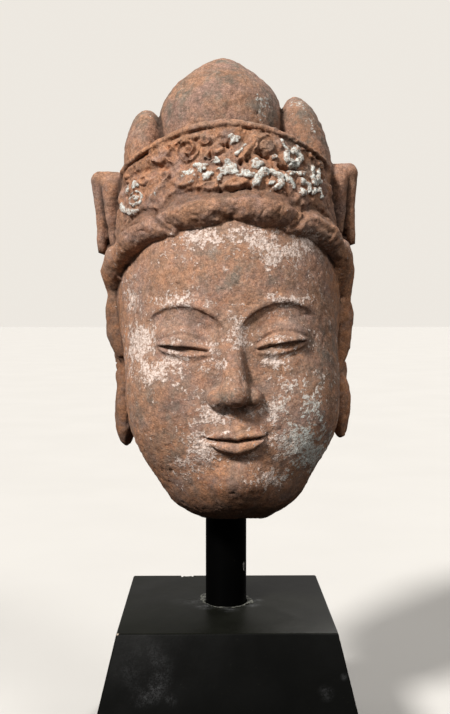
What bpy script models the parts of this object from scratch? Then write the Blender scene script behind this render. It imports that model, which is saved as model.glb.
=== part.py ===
"""Stone head of a crowned bodhisattva, held on a round post over a tapered block.

Metres, +Z up, the face looks towards -Y. The forms of the head are shares of its own height,
measured from its broken underside, and they are scaled and leaned at the end.
"""

from math import cos, pi, radians, sin, sqrt

import bpy
import numpy as np
from mathutils import Matrix, Vector

# Head as a whole
HEAD_HEIGHT = 0.42
HEAD_LEAN_DEG = 2.0
LEAN_CENTRE = 0.65
HEAD_TRIANGLES = 8900

# Block and post
BLOCK_HEIGHT = 0.143
BLOCK_FOOT_WIDTH = 0.256
BLOCK_TOP_WIDTH = 0.188
BLOCK_EDGE = 0.0015
POST_DIAMETER = 0.038
POST_CLEAR_LENGTH = 0.0886
POST_IN_BLOCK = 0.060
POST_IN_HEAD = 0.110
POST_EDGE = 0.001
GAP = 0.0003

# Face, divided in three equal courts from hairline to chin and in five eye widths
HAIRLINE = 0.610
CHIN = 0.060
FACE_WIDTH = 0.475

# Skull
SKULL_CENTRE = 0.455
SKULL_HALF_HEIGHT = 0.350
SKULL_HALF_WIDTH = 0.236
SKULL_HALF_DEPTH = 0.258

# Crown
CROWN_AXIS_Y = 0.02
CROWN_TOP_BACK = 0.735
CROWN_TOP_RISE = 0.082
CROWN_FOOT_BACK = 0.553
CROWN_FOOT_RISE = 0.100
CROWN_HALF_WIDTH = 0.250
CROWN_HALF_DEPTH = 0.252
CROWN_WALL = 0.040
CROWN_FLOOR_DROP = 0.035
CROWN_RIM = 0.014
CROWN_FOOT_ROLL = 0.011
CROWN_RELIEF = 0.012

# Knot of hair behind the crown
KNOT_TOP = 1.0
KNOT_HALF_WIDTH = 0.136
KNOT_SLOPE = 0.66
KNOT_POINT_ROUND = 0.020

COURT = (HAIRLINE - CHIN) / 3
BROW_Z = CHIN + 2 * COURT
NOSE_Z = CHIN + COURT
MOUTH_Z = NOSE_Z - COURT / 3
EYE_WIDTH = FACE_WIDTH / 5
EYE_X = EYE_WIDTH
EYE_Z = BROW_Z - 0.28 * COURT

# Locks of the hair band: angle from the front in degrees, height, half thickness, distance from the skull
LOCKS = (
    ((1, 0.640, 0.020, 0.001), (-7.3, 0.640, 0.033, 0.001), (-15.7, 0.638, 0.037, 0.001),
     (-25, 0.635, 0.036, 0.001), (-32.4, 0.634, 0.025, 0.001)),
    ((1, 0.642, 0.020, 0.001), (9.4, 0.643, 0.034, 0.001), (18.8, 0.638, 0.038, 0.001),
     (28.2, 0.633, 0.036, 0.001), (35.5, 0.631, 0.025, 0.001)),
    ((-28.2, 0.604, 0.014, 0.001), (-35.5, 0.614, 0.028, 0.001), (-45.3, 0.617, 0.036, 0.004),
     (-57.3, 0.598, 0.036, 0.012), (-69, 0.564, 0.024, 0.015)),
    ((31.3, 0.602, 0.014, 0.001), (38.6, 0.612, 0.028, 0.001), (48.4, 0.616, 0.035, 0.004),
     (59.4, 0.597, 0.036, 0.012), (71, 0.562, 0.024, 0.015)),
    ((-62, 0.572, 0.018, 0.013), (-75, 0.560, 0.035, 0.013),
     (-86, 0.530, 0.036, 0.013), (-91, 0.498, 0.024, 0.013)),
    ((65, 0.568, 0.018, 0.013), (77, 0.557, 0.035, 0.013),
     (87, 0.520, 0.036, 0.013), (92, 0.474, 0.028, 0.013)),
    ((-90, 0.490, 0.020, 0.013), (-92, 0.450, 0.026, 0.013),
     (-90, 0.395, 0.027, 0.013), (-88, 0.362, 0.021, 0.013)),
    ((92, 0.462, 0.022, 0.014), (93, 0.420, 0.030, 0.014),
     (92, 0.355, 0.029, 0.014), (88, 0.292, 0.018, 0.014)),
)

# Ornament of the crown: kind, angle from the front, height, size, turn in degrees
ORNAMENT = (
    ("scroll", -19.5, 0.770, 0.029, 40),
    ("leaf", -36.0, 0.752, 0.034, -40),
    ("leaf", -6.0, 0.775, 0.024, 60),
    ("hole", 1.5, 0.771, 0.010, 0),
    ("leaf", 9.5, 0.757, 0.026, 50),
    ("leaf", 23.0, 0.768, 0.034, -30),
    ("scroll", 40.5, 0.742, 0.027, 130),
    ("leaf", -50.0, 0.715, 0.030, -45),
    ("scroll", -52.5, 0.674, 0.024, 200),
    ("leaf", -39.5, 0.694, 0.027, -60),
    ("leaf", -28.0, 0.706, 0.026, -30),
    ("leaf", -17.0, 0.716, 0.024, 30),
    ("leaf", -8.0, 0.712, 0.022, -55),
    ("scroll", 0.8, 0.712, 0.023, 270),
    ("leaf", 9.5, 0.708, 0.024, 35),
    ("scroll", 24.5, 0.690, 0.031, 60),
    ("leaf", 37.0, 0.700, 0.028, 50),
    ("leaf", 47.0, 0.688, 0.026, -50),
    ("leaf", 56.0, 0.712, 0.028, 40),
    ("scroll", 61.0, 0.672, 0.023, 330),
    ("hole", 63.5, 0.724, 0.009, 0),
    ("scroll", 88.0, 0.655, 0.030, 100),
    ("scroll", -88.0, 0.655, 0.030, 80),
    ("leaf", 106.0, 0.650, 0.034, 45),
    ("leaf", -106.0, 0.650, 0.034, -45),
    ("scroll", 124.0, 0.645, 0.030, 60),
    ("scroll", -124.0, 0.645, 0.030, 120),
    ("leaf", 143.0, 0.645, 0.034, 45),
    ("leaf", -143.0, 0.645, 0.034, -45),
    ("scroll", 163.0, 0.640, 0.030, 60),
    ("scroll", -163.0, 0.640, 0.030, 120),
)


def blend(a, b, width):
    """Union of two fields with a rounded seam."""
    near = np.maximum(width - np.abs(a - b), 0) / width
    return np.minimum(a, b) - near * near * width / 4


def trim(a, b, width):
    """Part of field a that is also in field b, with a rounded edge."""
    return -blend(-a, -b, width)


def ramp(start, end, t):
    """Smooth step from 0 at start to 1 at end."""
    s = np.clip((t - start) / (end - start), 0, 1)
    return s * s * (3 - 2 * s)


def bell(t, width):
    """Rounded bump of height 1 about t = 0."""
    return np.exp(-((t / width) ** 2))


def egg(p, centre, radii, lean_deg=0.0):
    """Distance to an ellipsoid, its top leaned towards +X."""
    q = p - np.array(centre)
    if lean_deg:
        c, s = cos(radians(lean_deg)), sin(radians(lean_deg))
        q = np.column_stack((q[:, 0] * c - q[:, 2] * s, q[:, 1], q[:, 0] * s + q[:, 2] * c))
    radii = np.array(radii)
    k0 = np.linalg.norm(q / radii, axis=1)
    k1 = np.linalg.norm(q / radii**2, axis=1)
    return k0 * (k0 - 1) / np.maximum(k1, 1e-9)


def strand(p, points, halves):
    """Distance to a rounded strand through the points, with a half thickness at each."""
    points = [np.array(point, float) for point in points]
    found = []
    for a, b, half_a, half_b in zip(points, points[1:], halves, halves[1:]):
        along = b - a
        t = np.clip((p - a) @ along / (along @ along), 0, 1)
        reach = np.linalg.norm(p - a - t[:, None] * along, axis=1)
        found.append(reach - (half_a + (half_b - half_a) * t))
    return np.min(found, axis=0)


def angle_of(p):
    """Angle round the crown's axis, 0 at the front, positive towards +X."""
    return np.arctan2(p[:, 0], CROWN_AXIS_Y - p[:, 1])


def frontness(angle):
    return (1 + np.cos(angle)) / 2


def crown_top(angle):
    return CROWN_TOP_BACK + CROWN_TOP_RISE * frontness(angle) ** 3.5


def crown_foot(angle):
    return CROWN_FOOT_BACK + CROWN_FOOT_RISE * frontness(angle) ** 3


def crown_reach(p, grow=0.0):
    """Distance outwards from the crown's leaning wall."""
    half_width = CROWN_HALF_WIDTH - (p[:, 2] - 0.583) * 0.156 + grow
    front = CROWN_HALF_DEPTH - (p[:, 2] - 0.657) * 0.30
    back = CROWN_HALF_WIDTH - (p[:, 2] - 0.583) * 0.15
    y = p[:, 1] - CROWN_AXIS_Y
    half_depth = np.where(y < 0, front, back) + grow
    k0 = np.hypot(p[:, 0] / half_width, y / half_depth)
    k1 = np.hypot(p[:, 0] / half_width**2, y / half_depth**2)
    return k0 * (k0 - 1) / np.maximum(k1, 1e-9)


def on_skull(angle_deg, z, out):
    """Point on the skull at an angle from the front, moved outwards."""
    share = sqrt(max(1 - ((z - SKULL_CENTRE) / SKULL_HALF_HEIGHT) ** 2, 0))
    s, c = sin(radians(angle_deg)), cos(radians(angle_deg))
    reach = 1 / np.hypot(s / (SKULL_HALF_WIDTH * share), c / (SKULL_HALF_DEPTH * share)) + out
    return s * reach, 0.01 - c * reach, z


def face(p, side):
    """Skull, cheeks, jaw, chin, eye sockets, lids and nose."""
    skull = (SKULL_HALF_WIDTH, SKULL_HALF_DEPTH, SKULL_HALF_HEIGHT)
    d = egg(p, (0, 0.01, SKULL_CENTRE), skull)
    d = blend(d, egg(p, (0, -0.05, 0.32), (0.228, 0.198, 0.28)), 0.03)
    d = blend(d, egg(p, (0, -0.062, 0.196), (0.200, 0.182, 0.196)), 0.04)
    d = blend(d, egg(side, (0.115, -0.115, 0.25), (0.10, 0.105, 0.12)), 0.05)
    d = blend(d, egg(p, (0, -0.165, 0.19), (0.085, 0.078, 0.065)), 0.04)
    d = blend(d, egg(p, (0, -0.19, 0.096), (0.055, 0.052, 0.036)), 0.04)
    d = blend(d, egg(p, (0, -0.078, 0.066), (0.128, 0.122, 0.064)), 0.05)
    socket = egg(side, (0.083, -0.277, EYE_Z + 0.026), (0.062, 0.046, 0.030))
    d = trim(d, -socket, 0.03)
    bridge = ((0, -0.230, BROW_Z), (0, -0.250, BROW_Z - 0.07), (0, -0.272, NOSE_Z + 0.042))
    nose = strand(p, bridge, (0.018, 0.020, 0.025))
    nose = blend(nose, egg(p, (0, -0.272, NOSE_Z + 0.032), (0.030, 0.030, 0.026)), 0.012)
    wing = egg(side, (0.034, -0.248, NOSE_Z + 0.024), (0.021, 0.030, 0.021))
    nose = blend(nose, wing, 0.008)
    d = blend(d, nose, 0.016)
    nostril = egg(side, (0.017, -0.260, NOSE_Z + 0.001), (0.010, 0.014, 0.010))
    d = trim(d, -nostril, 0.006)
    return blend(d, egg(side, (EYE_X, -0.189, EYE_Z + 0.010), (0.058, 0.051, 0.038)), 0.012)


def ear(side):
    """Ear with a rolled rim, a hollow and a long lobe."""
    d = egg(side, (0.232, 0.085, 0.315), (0.026, 0.058, 0.125))
    d = blend(d, egg(side, (0.242, 0.040, 0.222), (0.025, 0.042, 0.080)), 0.02)
    turns = np.linspace(0, 1, 9)
    rim_y = 0.090 - 0.052 * np.cos(pi * (1.25 * turns + 0.05))
    rim_z = 0.345 + 0.098 * np.sin(1.15 * pi * turns)
    rim = list(zip(0.252 + 0.008 * np.sin(pi * turns), rim_y, rim_z))
    d = blend(d, strand(side, rim, [0.010 + 0.003 * sin(pi * t) for t in turns]), 0.010)
    d = trim(d, -egg(side, (0.274, 0.082, 0.330), (0.022, 0.026, 0.050)), 0.010)
    fold = ((0.256, 0.085, 0.395), (0.260, 0.108, 0.355), (0.257, 0.100, 0.290))
    d = blend(d, strand(side, fold, (0.007, 0.009, 0.008)), 0.008)
    return blend(d, egg(side, (0.254, 0.044, 0.300), (0.010, 0.012, 0.020)), 0.008)


def bow(side):
    """End of the crown's ribbon: a plump loop above, with two pleats that hang from it."""
    roll = ((0.238, 0.018, 0.738), (0.282, 0.028, 0.742))
    outer = ((0.279, 0.032, 0.734), (0.2785, 0.040, 0.664), (0.280, 0.046, 0.574))
    inner = ((0.250, 0.014, 0.720), (0.253, 0.018, 0.658), (0.250, 0.034, 0.600))
    behind = ((0.252, 0.058, 0.734), (0.270, 0.064, 0.672), (0.270, 0.070, 0.582))
    d = strand(side, roll, (0.018, 0.016))
    d = blend(d, strand(side, outer, (0.018, 0.012, 0.010)), 0.010)
    d = blend(d, strand(side, inner, (0.022, 0.014, 0.010)), 0.008)
    return blend(d, strand(side, behind, (0.024, 0.020, 0.014)), 0.006)


def crown(p):
    """Leaning band with a rolled rim, open at the top."""
    angle = angle_of(p)
    top = crown_top(angle)
    wall = trim(crown_reach(p), p[:, 2] - top, 0.012)
    wall = trim(wall, crown_foot(angle) - p[:, 2], 0.012)
    well = trim(crown_reach(p, -CROWN_WALL), top - CROWN_FLOOR_DROP - p[:, 2], 0.02)
    wall = trim(wall, -well, 0.015)
    rim = np.hypot(crown_reach(p, -0.006), p[:, 2] - top + 0.006) - CROWN_RIM
    roll = CROWN_FOOT_ROLL * (1 - frontness(angle) ** 2)
    foot = np.hypot(crown_reach(p, -0.002), p[:, 2] - crown_foot(angle) - 0.006) - roll
    return blend(blend(wall, rim, 0.006), foot, 0.006)


def knot(p):
    """High knot of hair with a blunt point, between two lower loops."""
    d = egg(p, (-0.004, 0.03, KNOT_TOP - 0.16), (KNOT_HALF_WIDTH, KNOT_HALF_WIDTH, 0.20))
    reach = np.sqrt((p[:, 0] - 0.002) ** 2 + (p[:, 1] - 0.03) ** 2 + KNOT_POINT_ROUND**2)
    slope = p[:, 2] - KNOT_TOP + KNOT_SLOPE * (reach - KNOT_POINT_ROUND)
    d = trim(d, slope / sqrt(1 + KNOT_SLOPE**2), 0.04)
    d = blend(d, egg(p, (-0.175, 0.035, 0.775), (0.048, 0.085, 0.113), 5), 0.008)
    return blend(d, egg(p, (0.182, 0.035, 0.778), (0.054, 0.085, 0.131), -11), 0.008)


def head_field(p):
    """Distance from the head's surface, below zero inside the stone."""
    side = np.column_stack((np.abs(p[:, 0]), p[:, 1:]))
    d = face(p, side)
    d = blend(d, egg(p, (0, 0.055, 0.10), (0.140, 0.160, 0.22)), 0.04)
    d = blend(d, egg(p, (0, 0.045, 0.485), (0.252, 0.232, 0.33)), 0.02)
    d = blend(d, ear(side), 0.010)
    for lock in LOCKS:
        points = [on_skull(angle, z, out) for angle, z, half, out in lock]
        d = blend(d, strand(p, points, [half for angle, z, half, out in lock]), 0.003)
    d = blend(d, crown(p), 0.004)
    d = blend(d, knot(p), 0.010)
    d = blend(d, bow(side), 0.006)
    return trim(d, -p[:, 2], 0.008)


def leaf_relief(u, v, size, turn_deg):
    """Pointed leaf with a groove along its middle."""
    c, s = cos(radians(turn_deg)), sin(radians(turn_deg))
    along = (u * s + v * c) / size
    across = (u * c - v * s) / (0.55 * size)
    width = np.clip(1 - along**2, 0, 1)
    body = np.clip(1 - (across / np.maximum(width, 1e-3)) ** 2, 0, 1) ** 0.5 * width**0.5
    return body - 0.45 * body * bell(across, 0.22)


def scroll_relief(u, v, size, turn_deg):
    """Raised spiral that winds in to a small boss."""
    reach = np.hypot(u, v) / size
    turn = np.arctan2(v, u) / (2 * pi) - turn_deg / 360
    pitch = 0.52
    offset = (reach / pitch - turn + 0.5) % 1 - 0.5
    arm = bell(offset * pitch, 0.15) * ramp(1.12, 0.92, reach)
    return np.maximum(arm, bell(reach, 0.22))


def crown_relief(p):
    """Carved ornament of the crown, in shares of the relief's height."""
    angle = angle_of(p)
    top, foot = crown_top(angle), crown_foot(angle)
    relief = np.zeros(len(p))
    for kind, angle_deg, z, size, turn_deg in ORNAMENT:
        u = (angle - radians(angle_deg)) * 0.235
        v = p[:, 2] - z
        near = (np.abs(u) < 2 * size) & (np.abs(v) < 2 * size)
        if kind == "scroll":
            relief[near] = np.maximum(relief[near], scroll_relief(u[near], v[near], size, turn_deg))
        elif kind == "leaf":
            relief[near] = np.maximum(relief[near], leaf_relief(u[near], v[near], size, turn_deg))
        else:
            relief[near] -= 2.2 * bell(np.hypot(u[near], v[near]), size)
    middle = foot + 0.52 * (top - foot)
    relief = relief + 0.35 * bell(p[:, 2] - middle, 0.006)
    in_band = ramp(0.0, 0.012, p[:, 2] - foot) * ramp(0.016, 0.028, top - p[:, 2])
    on_wall = ramp(-0.020, -0.006, crown_reach(p)) * ramp(0.030, 0.014, crown_reach(p))
    return relief * in_band * on_wall * CROWN_RELIEF


def face_relief(p):
    """Brows, eye slits, lids and lips."""
    x, z = np.abs(p[:, 0]), p[:, 2]
    t = np.clip((x - 0.018) / 0.154, 0, 1)
    brow = BROW_Z - 0.019 + 0.009 * t + 0.038 * (4 * t * (1 - t)) ** 0.8
    ends = ramp(0.010, 0.036, x) * ramp(0.184, 0.150, x)
    relief = 0.0045 * ends * bell(z - brow - 0.004, 0.008)
    relief = relief - 0.0040 * ends * bell(z - brow + 0.008, 0.006)

    t = (x - (EYE_X - EYE_WIDTH / 2)) / EYE_WIDTH
    s = np.clip(t, 0, 1)
    arch = 4 * s * (1 - s)
    corner = EYE_Z - 0.014 + 0.008 * s
    upper = corner + 0.006 * arch
    lower = corner - 0.005 * arch
    lid = ramp(-0.12, 0.10, t) * ramp(1.14, 0.90, t)
    slit = ramp(-0.003, 0.001, upper - z) * ramp(-0.003, 0.001, z - lower)
    slit = slit * ramp(-0.02, 0.16, t) * ramp(1.02, 0.84, t)
    relief = relief - 0.0060 * slit
    relief = relief + 0.0045 * lid * bell(z - upper - 0.006, 0.006)
    relief = relief - 0.0030 * lid * bell(z - upper - 0.022, 0.004)
    relief = relief + 0.0030 * lid * bell(z - lower + 0.007, 0.006)
    relief = relief - 0.0020 * lid * bell(z - lower + 0.018, 0.006)

    half = 0.65 * EYE_WIDTH
    s = np.clip(x / half, 0, 1)
    body = np.sqrt(1 - s**2)
    line = MOUTH_Z + 0.004 * s**2 - 0.0015 * bell(x, 0.012)
    upper = 0.021 * body**1.2 - 0.0035 * bell(x, 0.009) + 1e-4
    lower = 0.027 * np.clip(1 - (x / (0.9 * half)) ** 2, 0, 1) ** 0.6 + 1e-4
    relief = relief + 0.0085 * np.sin(pi * np.clip((z - line) / upper, 0, 1)) ** 0.8 * body**0.6
    relief = relief + 0.0115 * np.sin(pi * np.clip((line - z) / lower, 0, 1)) ** 0.8 * body**0.6
    relief = relief - 0.0080 * bell(z - line, 0.003) * ramp(1.12 * half, 0.92 * half, x)
    relief = relief - 0.0055 * bell(x - 1.08 * half, 0.010) * bell(z - MOUTH_Z - 0.004, 0.011)
    relief = relief - 0.0060 * bell(x, 0.038) * bell(z - MOUTH_Z + 0.040, 0.010)
    dent = ramp(MOUTH_Z + 0.018, MOUTH_Z + 0.03, z) * ramp(NOSE_Z + 0.002, NOSE_Z - 0.012, z)
    relief = relief - 0.0035 * bell(x, 0.007) * dent
    return relief * np.clip((-0.10 - p[:, 1]) / 0.06, 0, 1)


def back_hair_relief(p):
    """Shallow grooves of hair combed down the back of the head."""
    angle = angle_of(p)
    behind = ramp(1.85, 2.15, np.abs(angle)) * ramp(0.13, 0.19, p[:, 2])
    below_crown = ramp(0.0, 0.02, crown_foot(angle) - p[:, 2])
    return -0.004 * behind * below_crown * np.cos(angle * 34) ** 8


def read_points(mesh):
    flat = np.empty(len(mesh.vertices) * 3, np.float32)
    mesh.vertices.foreach_get("co", flat)
    return flat.reshape(-1, 3).astype(float)


def read_normals(mesh):
    flat = np.empty(len(mesh.vertices) * 3, np.float32)
    mesh.vertex_normals.foreach_get("vector", flat)
    return flat.reshape(-1, 3).astype(float)


def write_points(mesh, points):
    mesh.vertices.foreach_set("co", points.astype(np.float32).ravel())
    mesh.update()


def relaxed(mesh, points, amount):
    """Points moved part of the way to the mean of their neighbours."""
    ends = np.empty(len(mesh.edges) * 2, np.int32)
    mesh.edges.foreach_get("vertices", ends)
    ends = ends.reshape(-1, 2)
    count = np.bincount(ends.ravel(), minlength=len(points))
    means = np.empty_like(points)
    for k in range(3):
        sums = np.bincount(ends[:, 0], points[ends[:, 1], k], len(points))
        sums += np.bincount(ends[:, 1], points[ends[:, 0], k], len(points))
        means[:, k] = sums / count
    return points + amount * (means - points)


def field_slope(points, d):
    """Unit direction in which the field grows."""
    small = 0.001
    slope = np.column_stack([head_field(points + small * row) - d for row in np.eye(3)])
    return slope / np.maximum(np.linalg.norm(slope, axis=1), 1e-9)[:, None]


def settle(head, rounds, amount, by_slope):
    """Draw the vertices onto the head's field while keeping them evenly spread."""
    mesh = head.data
    for _ in range(rounds):
        points = relaxed(mesh, read_points(mesh), amount)
        write_points(mesh, points)
        d = head_field(points)
        way = field_slope(points, d) if by_slope else read_normals(mesh)
        write_points(mesh, points - way * np.clip(d, -0.012, 0.012)[:, None])


def apply_modifier(piece, name, kind, **values):
    modifier = piece.modifiers.new(name, kind)
    for key, value in values.items():
        setattr(modifier, key, value)
    bpy.context.view_layer.objects.active = piece
    bpy.ops.object.modifier_apply(modifier=modifier.name)


def apply_transform(piece):
    bpy.ops.object.select_all(action="DESELECT")
    piece.select_set(True)
    bpy.context.view_layer.objects.active = piece
    bpy.ops.object.transform_apply(location=True, rotation=True, scale=True)


def rough_ball(centre, radii):
    bpy.ops.mesh.primitive_uv_sphere_add(segments=32, ring_count=16, location=centre)
    ball = bpy.context.object
    ball.scale = radii
    return ball


def rough_head():
    """Balls and a cone joined as the rough block that the carving starts from."""
    balls = [
        ((0, 0.00, 0.44), (0.25, 0.265, 0.36)),
        ((0, -0.05, 0.19), (0.19, 0.18, 0.19)),
        ((0, 0.03, 0.10), (0.15, 0.15, 0.12)),
        ((0, 0.03, 0.85), (0.135, 0.13, 0.15)),
        ((0, -0.27, 0.28), (0.03, 0.03, 0.04)),
    ]
    for way in (-1, 1):
        balls.append(((0.18 * way, 0.035, 0.79), (0.05, 0.08, 0.11)))
        balls.append(((0.26 * way, 0.03, 0.66), (0.04, 0.03, 0.09)))
        balls.append(((0.24 * way, 0.04, 0.26), (0.03, 0.05, 0.12)))
    pieces = [rough_ball(centre, radii) for centre, radii in balls]
    bpy.ops.mesh.primitive_cone_add(
        vertices=48, radius1=0.25, radius2=0.215, depth=0.2, location=(0, 0.02, 0.66)
    )
    pieces.append(bpy.context.object)
    bpy.ops.object.select_all(action="DESELECT")
    for piece in pieces:
        piece.select_set(True)
    bpy.context.view_layer.objects.active = pieces[0]
    bpy.ops.object.join()
    head = bpy.context.object
    apply_transform(head)
    return head


def carved_head():
    """The head in shares of its height, fused and settled in three finer and finer passes."""
    head = rough_head()
    apply_modifier(head, "fuse", "REMESH", mode="VOXEL", voxel_size=0.012)
    settle(head, 12, 0.3, True)
    apply_modifier(head, "fuse", "REMESH", mode="VOXEL", voxel_size=0.008)
    settle(head, 6, 0.3, True)
    apply_modifier(head, "fuse", "REMESH", mode="VOXEL", voxel_size=0.006)
    settle(head, 4, 0.5, False)
    settle(head, 2, 0.15, False)
    points = read_points(head.data)
    depth = face_relief(points) + crown_relief(points) + back_hair_relief(points)
    write_points(head.data, points + read_normals(head.data) * depth[:, None])
    return head


def placed_head(collection):
    """Scale the head to size, lean it and set it over the post."""
    head = carved_head()
    count = sum(len(face.vertices) - 2 for face in head.data.polygons)
    apply_modifier(head, "fewer faces", "DECIMATE", ratio=HEAD_TRIANGLES / count)
    centre = Vector((0, 0, LEAN_CENTRE))
    lean = Matrix.Rotation(-radians(HEAD_LEAN_DEG), 4, "Y")
    foot = Matrix.Translation((0, 0, BLOCK_HEIGHT + POST_CLEAR_LENGTH))
    turn = Matrix.Translation(centre) @ lean @ Matrix.Translation(-centre)
    head.data.transform(foot @ Matrix.Scale(HEAD_HEIGHT, 4) @ turn)
    head.data.update()
    return finish(head, "head", collection)


def post_radius(clearance=0.0):
    return POST_DIAMETER / 2 + clearance


def cylinder(name, radius, low, high, collection):
    bpy.ops.mesh.primitive_cylinder_add(
        vertices=48, radius=radius, depth=high - low, location=(0, 0, (low + high) / 2)
    )
    piece = bpy.context.object
    apply_transform(piece)
    return finish(piece, name, collection)


def post_low():
    return BLOCK_HEIGHT - POST_IN_BLOCK


def post_high():
    return BLOCK_HEIGHT + POST_CLEAR_LENGTH + POST_IN_HEAD


def post(collection):
    """Round bar let into the block below and into the neck above."""
    piece = cylinder("rod", post_radius(), post_low(), post_high(), collection)
    apply_modifier(piece, "edges", "BEVEL", width=POST_EDGE, segments=1, limit_method="ANGLE")
    return piece


def post_cutter(collection):
    """Room for the post, with the gap all round and at both ends."""
    return cylinder("post room", post_radius(GAP), post_low() - GAP, post_high() + GAP, collection)


def block(collection):
    """Square block with straight sloping sides and barely broken edges."""
    bpy.ops.mesh.primitive_cone_add(
        vertices=4,
        radius1=BLOCK_FOOT_WIDTH / sqrt(2),
        radius2=BLOCK_TOP_WIDTH / sqrt(2),
        depth=BLOCK_HEIGHT,
        location=(0, 0, BLOCK_HEIGHT / 2),
        rotation=(0, 0, radians(45)),
    )
    piece = bpy.context.object
    apply_transform(piece)
    apply_modifier(piece, "edges", "BEVEL", width=BLOCK_EDGE, segments=2, limit_method="ANGLE")
    return finish(piece, "base", collection)


def cut(piece, cutter):
    modifier = piece.modifiers.new("post room", "BOOLEAN")
    modifier.object = cutter
    modifier.operation = "DIFFERENCE"
    modifier.solver = "EXACT"


def material(name, colour, roughness, metallic=0.0):
    made = bpy.data.materials.new(name)
    made.use_nodes = True
    shader = made.node_tree.nodes["Principled BSDF"]
    shader.inputs["Base Color"].default_value = (*colour, 1)
    shader.inputs["Roughness"].default_value = roughness
    shader.inputs["Metallic"].default_value = metallic
    return made


def finish(piece, name, collection):
    """Name the piece and move it to its collection."""
    piece.name = name
    piece.data.name = name
    for old in list(piece.users_collection):
        old.objects.unlink(piece)
    collection.objects.link(piece)
    return piece


def dress(piece, look, smooth):
    piece.data.materials.clear()
    piece.data.materials.append(look)
    if smooth:
        piece.data.shade_smooth()


def new_collection(name):
    collection = bpy.data.collections.new(name)
    bpy.context.scene.collection.children.link(collection)
    return collection


def main():
    for old in list(bpy.data.objects):
        bpy.data.objects.remove(old)
    parts = new_collection("guanyin head")
    cutters = new_collection("cutters")
    head = placed_head(parts)
    rod = post(parts)
    base = block(parts)
    room = post_cutter(cutters)
    room.hide_render = True
    room.display_type = "WIRE"
    cut(head, room)
    cut(base, room)
    dress(head, material("sandstone", (0.305, 0.141, 0.080), 0.92), True)
    dress(rod, material("black steel", (0.012, 0.012, 0.013), 0.38, 0.4), False)
    dress(base, material("black wood", (0.010, 0.010, 0.011), 0.45), False)


if __name__ == "__main__":
    main()
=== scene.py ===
"""Looks of the crowned stone head, its post and its block.

The head's forms are shares of its own height, measured up from the broken neck, as in the
solid model. A rough block of primitives is fused, drawn onto those forms and then cut with the
fine relief. Everything ends in metres in the frame's axes: +Z up, the face towards -Y.
"""

import logging
from dataclasses import dataclass
from enum import Enum
from itertools import product
from math import cos, pi, radians, sin, sqrt
from typing import Callable, Optional, Sequence

import bpy
import numpy as np
from mathutils import Matrix, Vector


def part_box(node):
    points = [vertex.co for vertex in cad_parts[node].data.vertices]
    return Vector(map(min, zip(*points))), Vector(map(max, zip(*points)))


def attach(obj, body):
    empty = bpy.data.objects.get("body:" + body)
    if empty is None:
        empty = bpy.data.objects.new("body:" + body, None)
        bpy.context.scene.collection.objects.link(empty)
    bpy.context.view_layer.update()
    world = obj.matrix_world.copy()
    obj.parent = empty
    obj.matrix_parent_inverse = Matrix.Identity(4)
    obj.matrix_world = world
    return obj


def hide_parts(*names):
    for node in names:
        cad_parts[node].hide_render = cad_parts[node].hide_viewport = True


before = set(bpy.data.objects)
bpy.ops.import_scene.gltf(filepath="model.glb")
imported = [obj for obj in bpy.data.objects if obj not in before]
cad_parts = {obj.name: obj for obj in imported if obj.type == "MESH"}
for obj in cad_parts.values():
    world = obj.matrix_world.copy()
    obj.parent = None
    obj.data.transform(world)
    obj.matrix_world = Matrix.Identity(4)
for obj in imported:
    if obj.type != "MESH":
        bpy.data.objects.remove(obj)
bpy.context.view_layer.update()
LOG = logging.getLogger("stone_head")
# Turns angles on the crown's band into arc lengths, in shares of the head's height.
BAND_RADIUS = 0.235
# Half sizes from a motif's centre beyond which nothing of it is left.
MOTIF_REACH = 2.2
# Primes that scatter the numbers of a lattice cell, and of its pattern.
CELL_PRIMES = (73856093, 19349663, 83492791)
SEED_PRIME = 7919

Points = np.ndarray
Values = np.ndarray
Triple = tuple[float, float, float]
Lock = tuple[tuple[float, float, float, float], ...]
Piece = bpy.types.Object
Socket = bpy.types.NodeSocket


def rows(kind: type, *table: tuple) -> tuple:
    """Return one object of a kind for each row of a table."""
    return tuple(kind(*row) for row in table)


def mirrored(p: Points) -> Points:
    """Return the points mirrored to the +X side."""
    return np.column_stack((np.abs(p[:, 0]), p[:, 1:]))


def blend(a: Values, b: Values, width: float) -> Values:
    """Return the union of two fields of distances, with a seam rounded over a width."""
    near = np.maximum(width - np.abs(a - b), 0) / width
    return np.minimum(a, b) - near * near * width / 4


def trim(a: Values, b: Values, width: float) -> Values:
    """Return field a kept only inside field b, with a rounded edge."""
    return -blend(-a, -b, width)


def ramp(start: float, end: float, t: Values) -> Values:
    """Return a smooth step from 0 at start to 1 at end, which may lie below start."""
    s = np.clip((t - start) / (end - start), 0, 1)
    return s * s * (3 - 2 * s)


def bell(t: Values, width: float) -> Values:
    """Return a rounded bump of height 1 about t = 0."""
    return np.exp(-((t / width) ** 2))


def egg(p: Points, centre: Sequence[float], radii: Sequence[float], lean_deg: float = 0.0) -> Values:
    """Distance to an ellipsoid.

    Args:
        p: Points to measure.
        centre: Centre of the ellipsoid.
        radii: Its three half sizes.
        lean_deg: How far its top leans towards +X.

    Returns:
        Distances, below zero inside.
    """
    q = p - np.array(centre)
    if lean_deg:
        c, s = cos(radians(lean_deg)), sin(radians(lean_deg))
        q = np.column_stack((q[:, 0] * c - q[:, 2] * s, q[:, 1], q[:, 0] * s + q[:, 2] * c))
    half = np.array(radii)
    k0 = np.linalg.norm(q / half, axis=1)
    k1 = np.linalg.norm(q / half**2, axis=1)
    return k0 * (k0 - 1) / np.maximum(k1, 1e-9)


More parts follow.
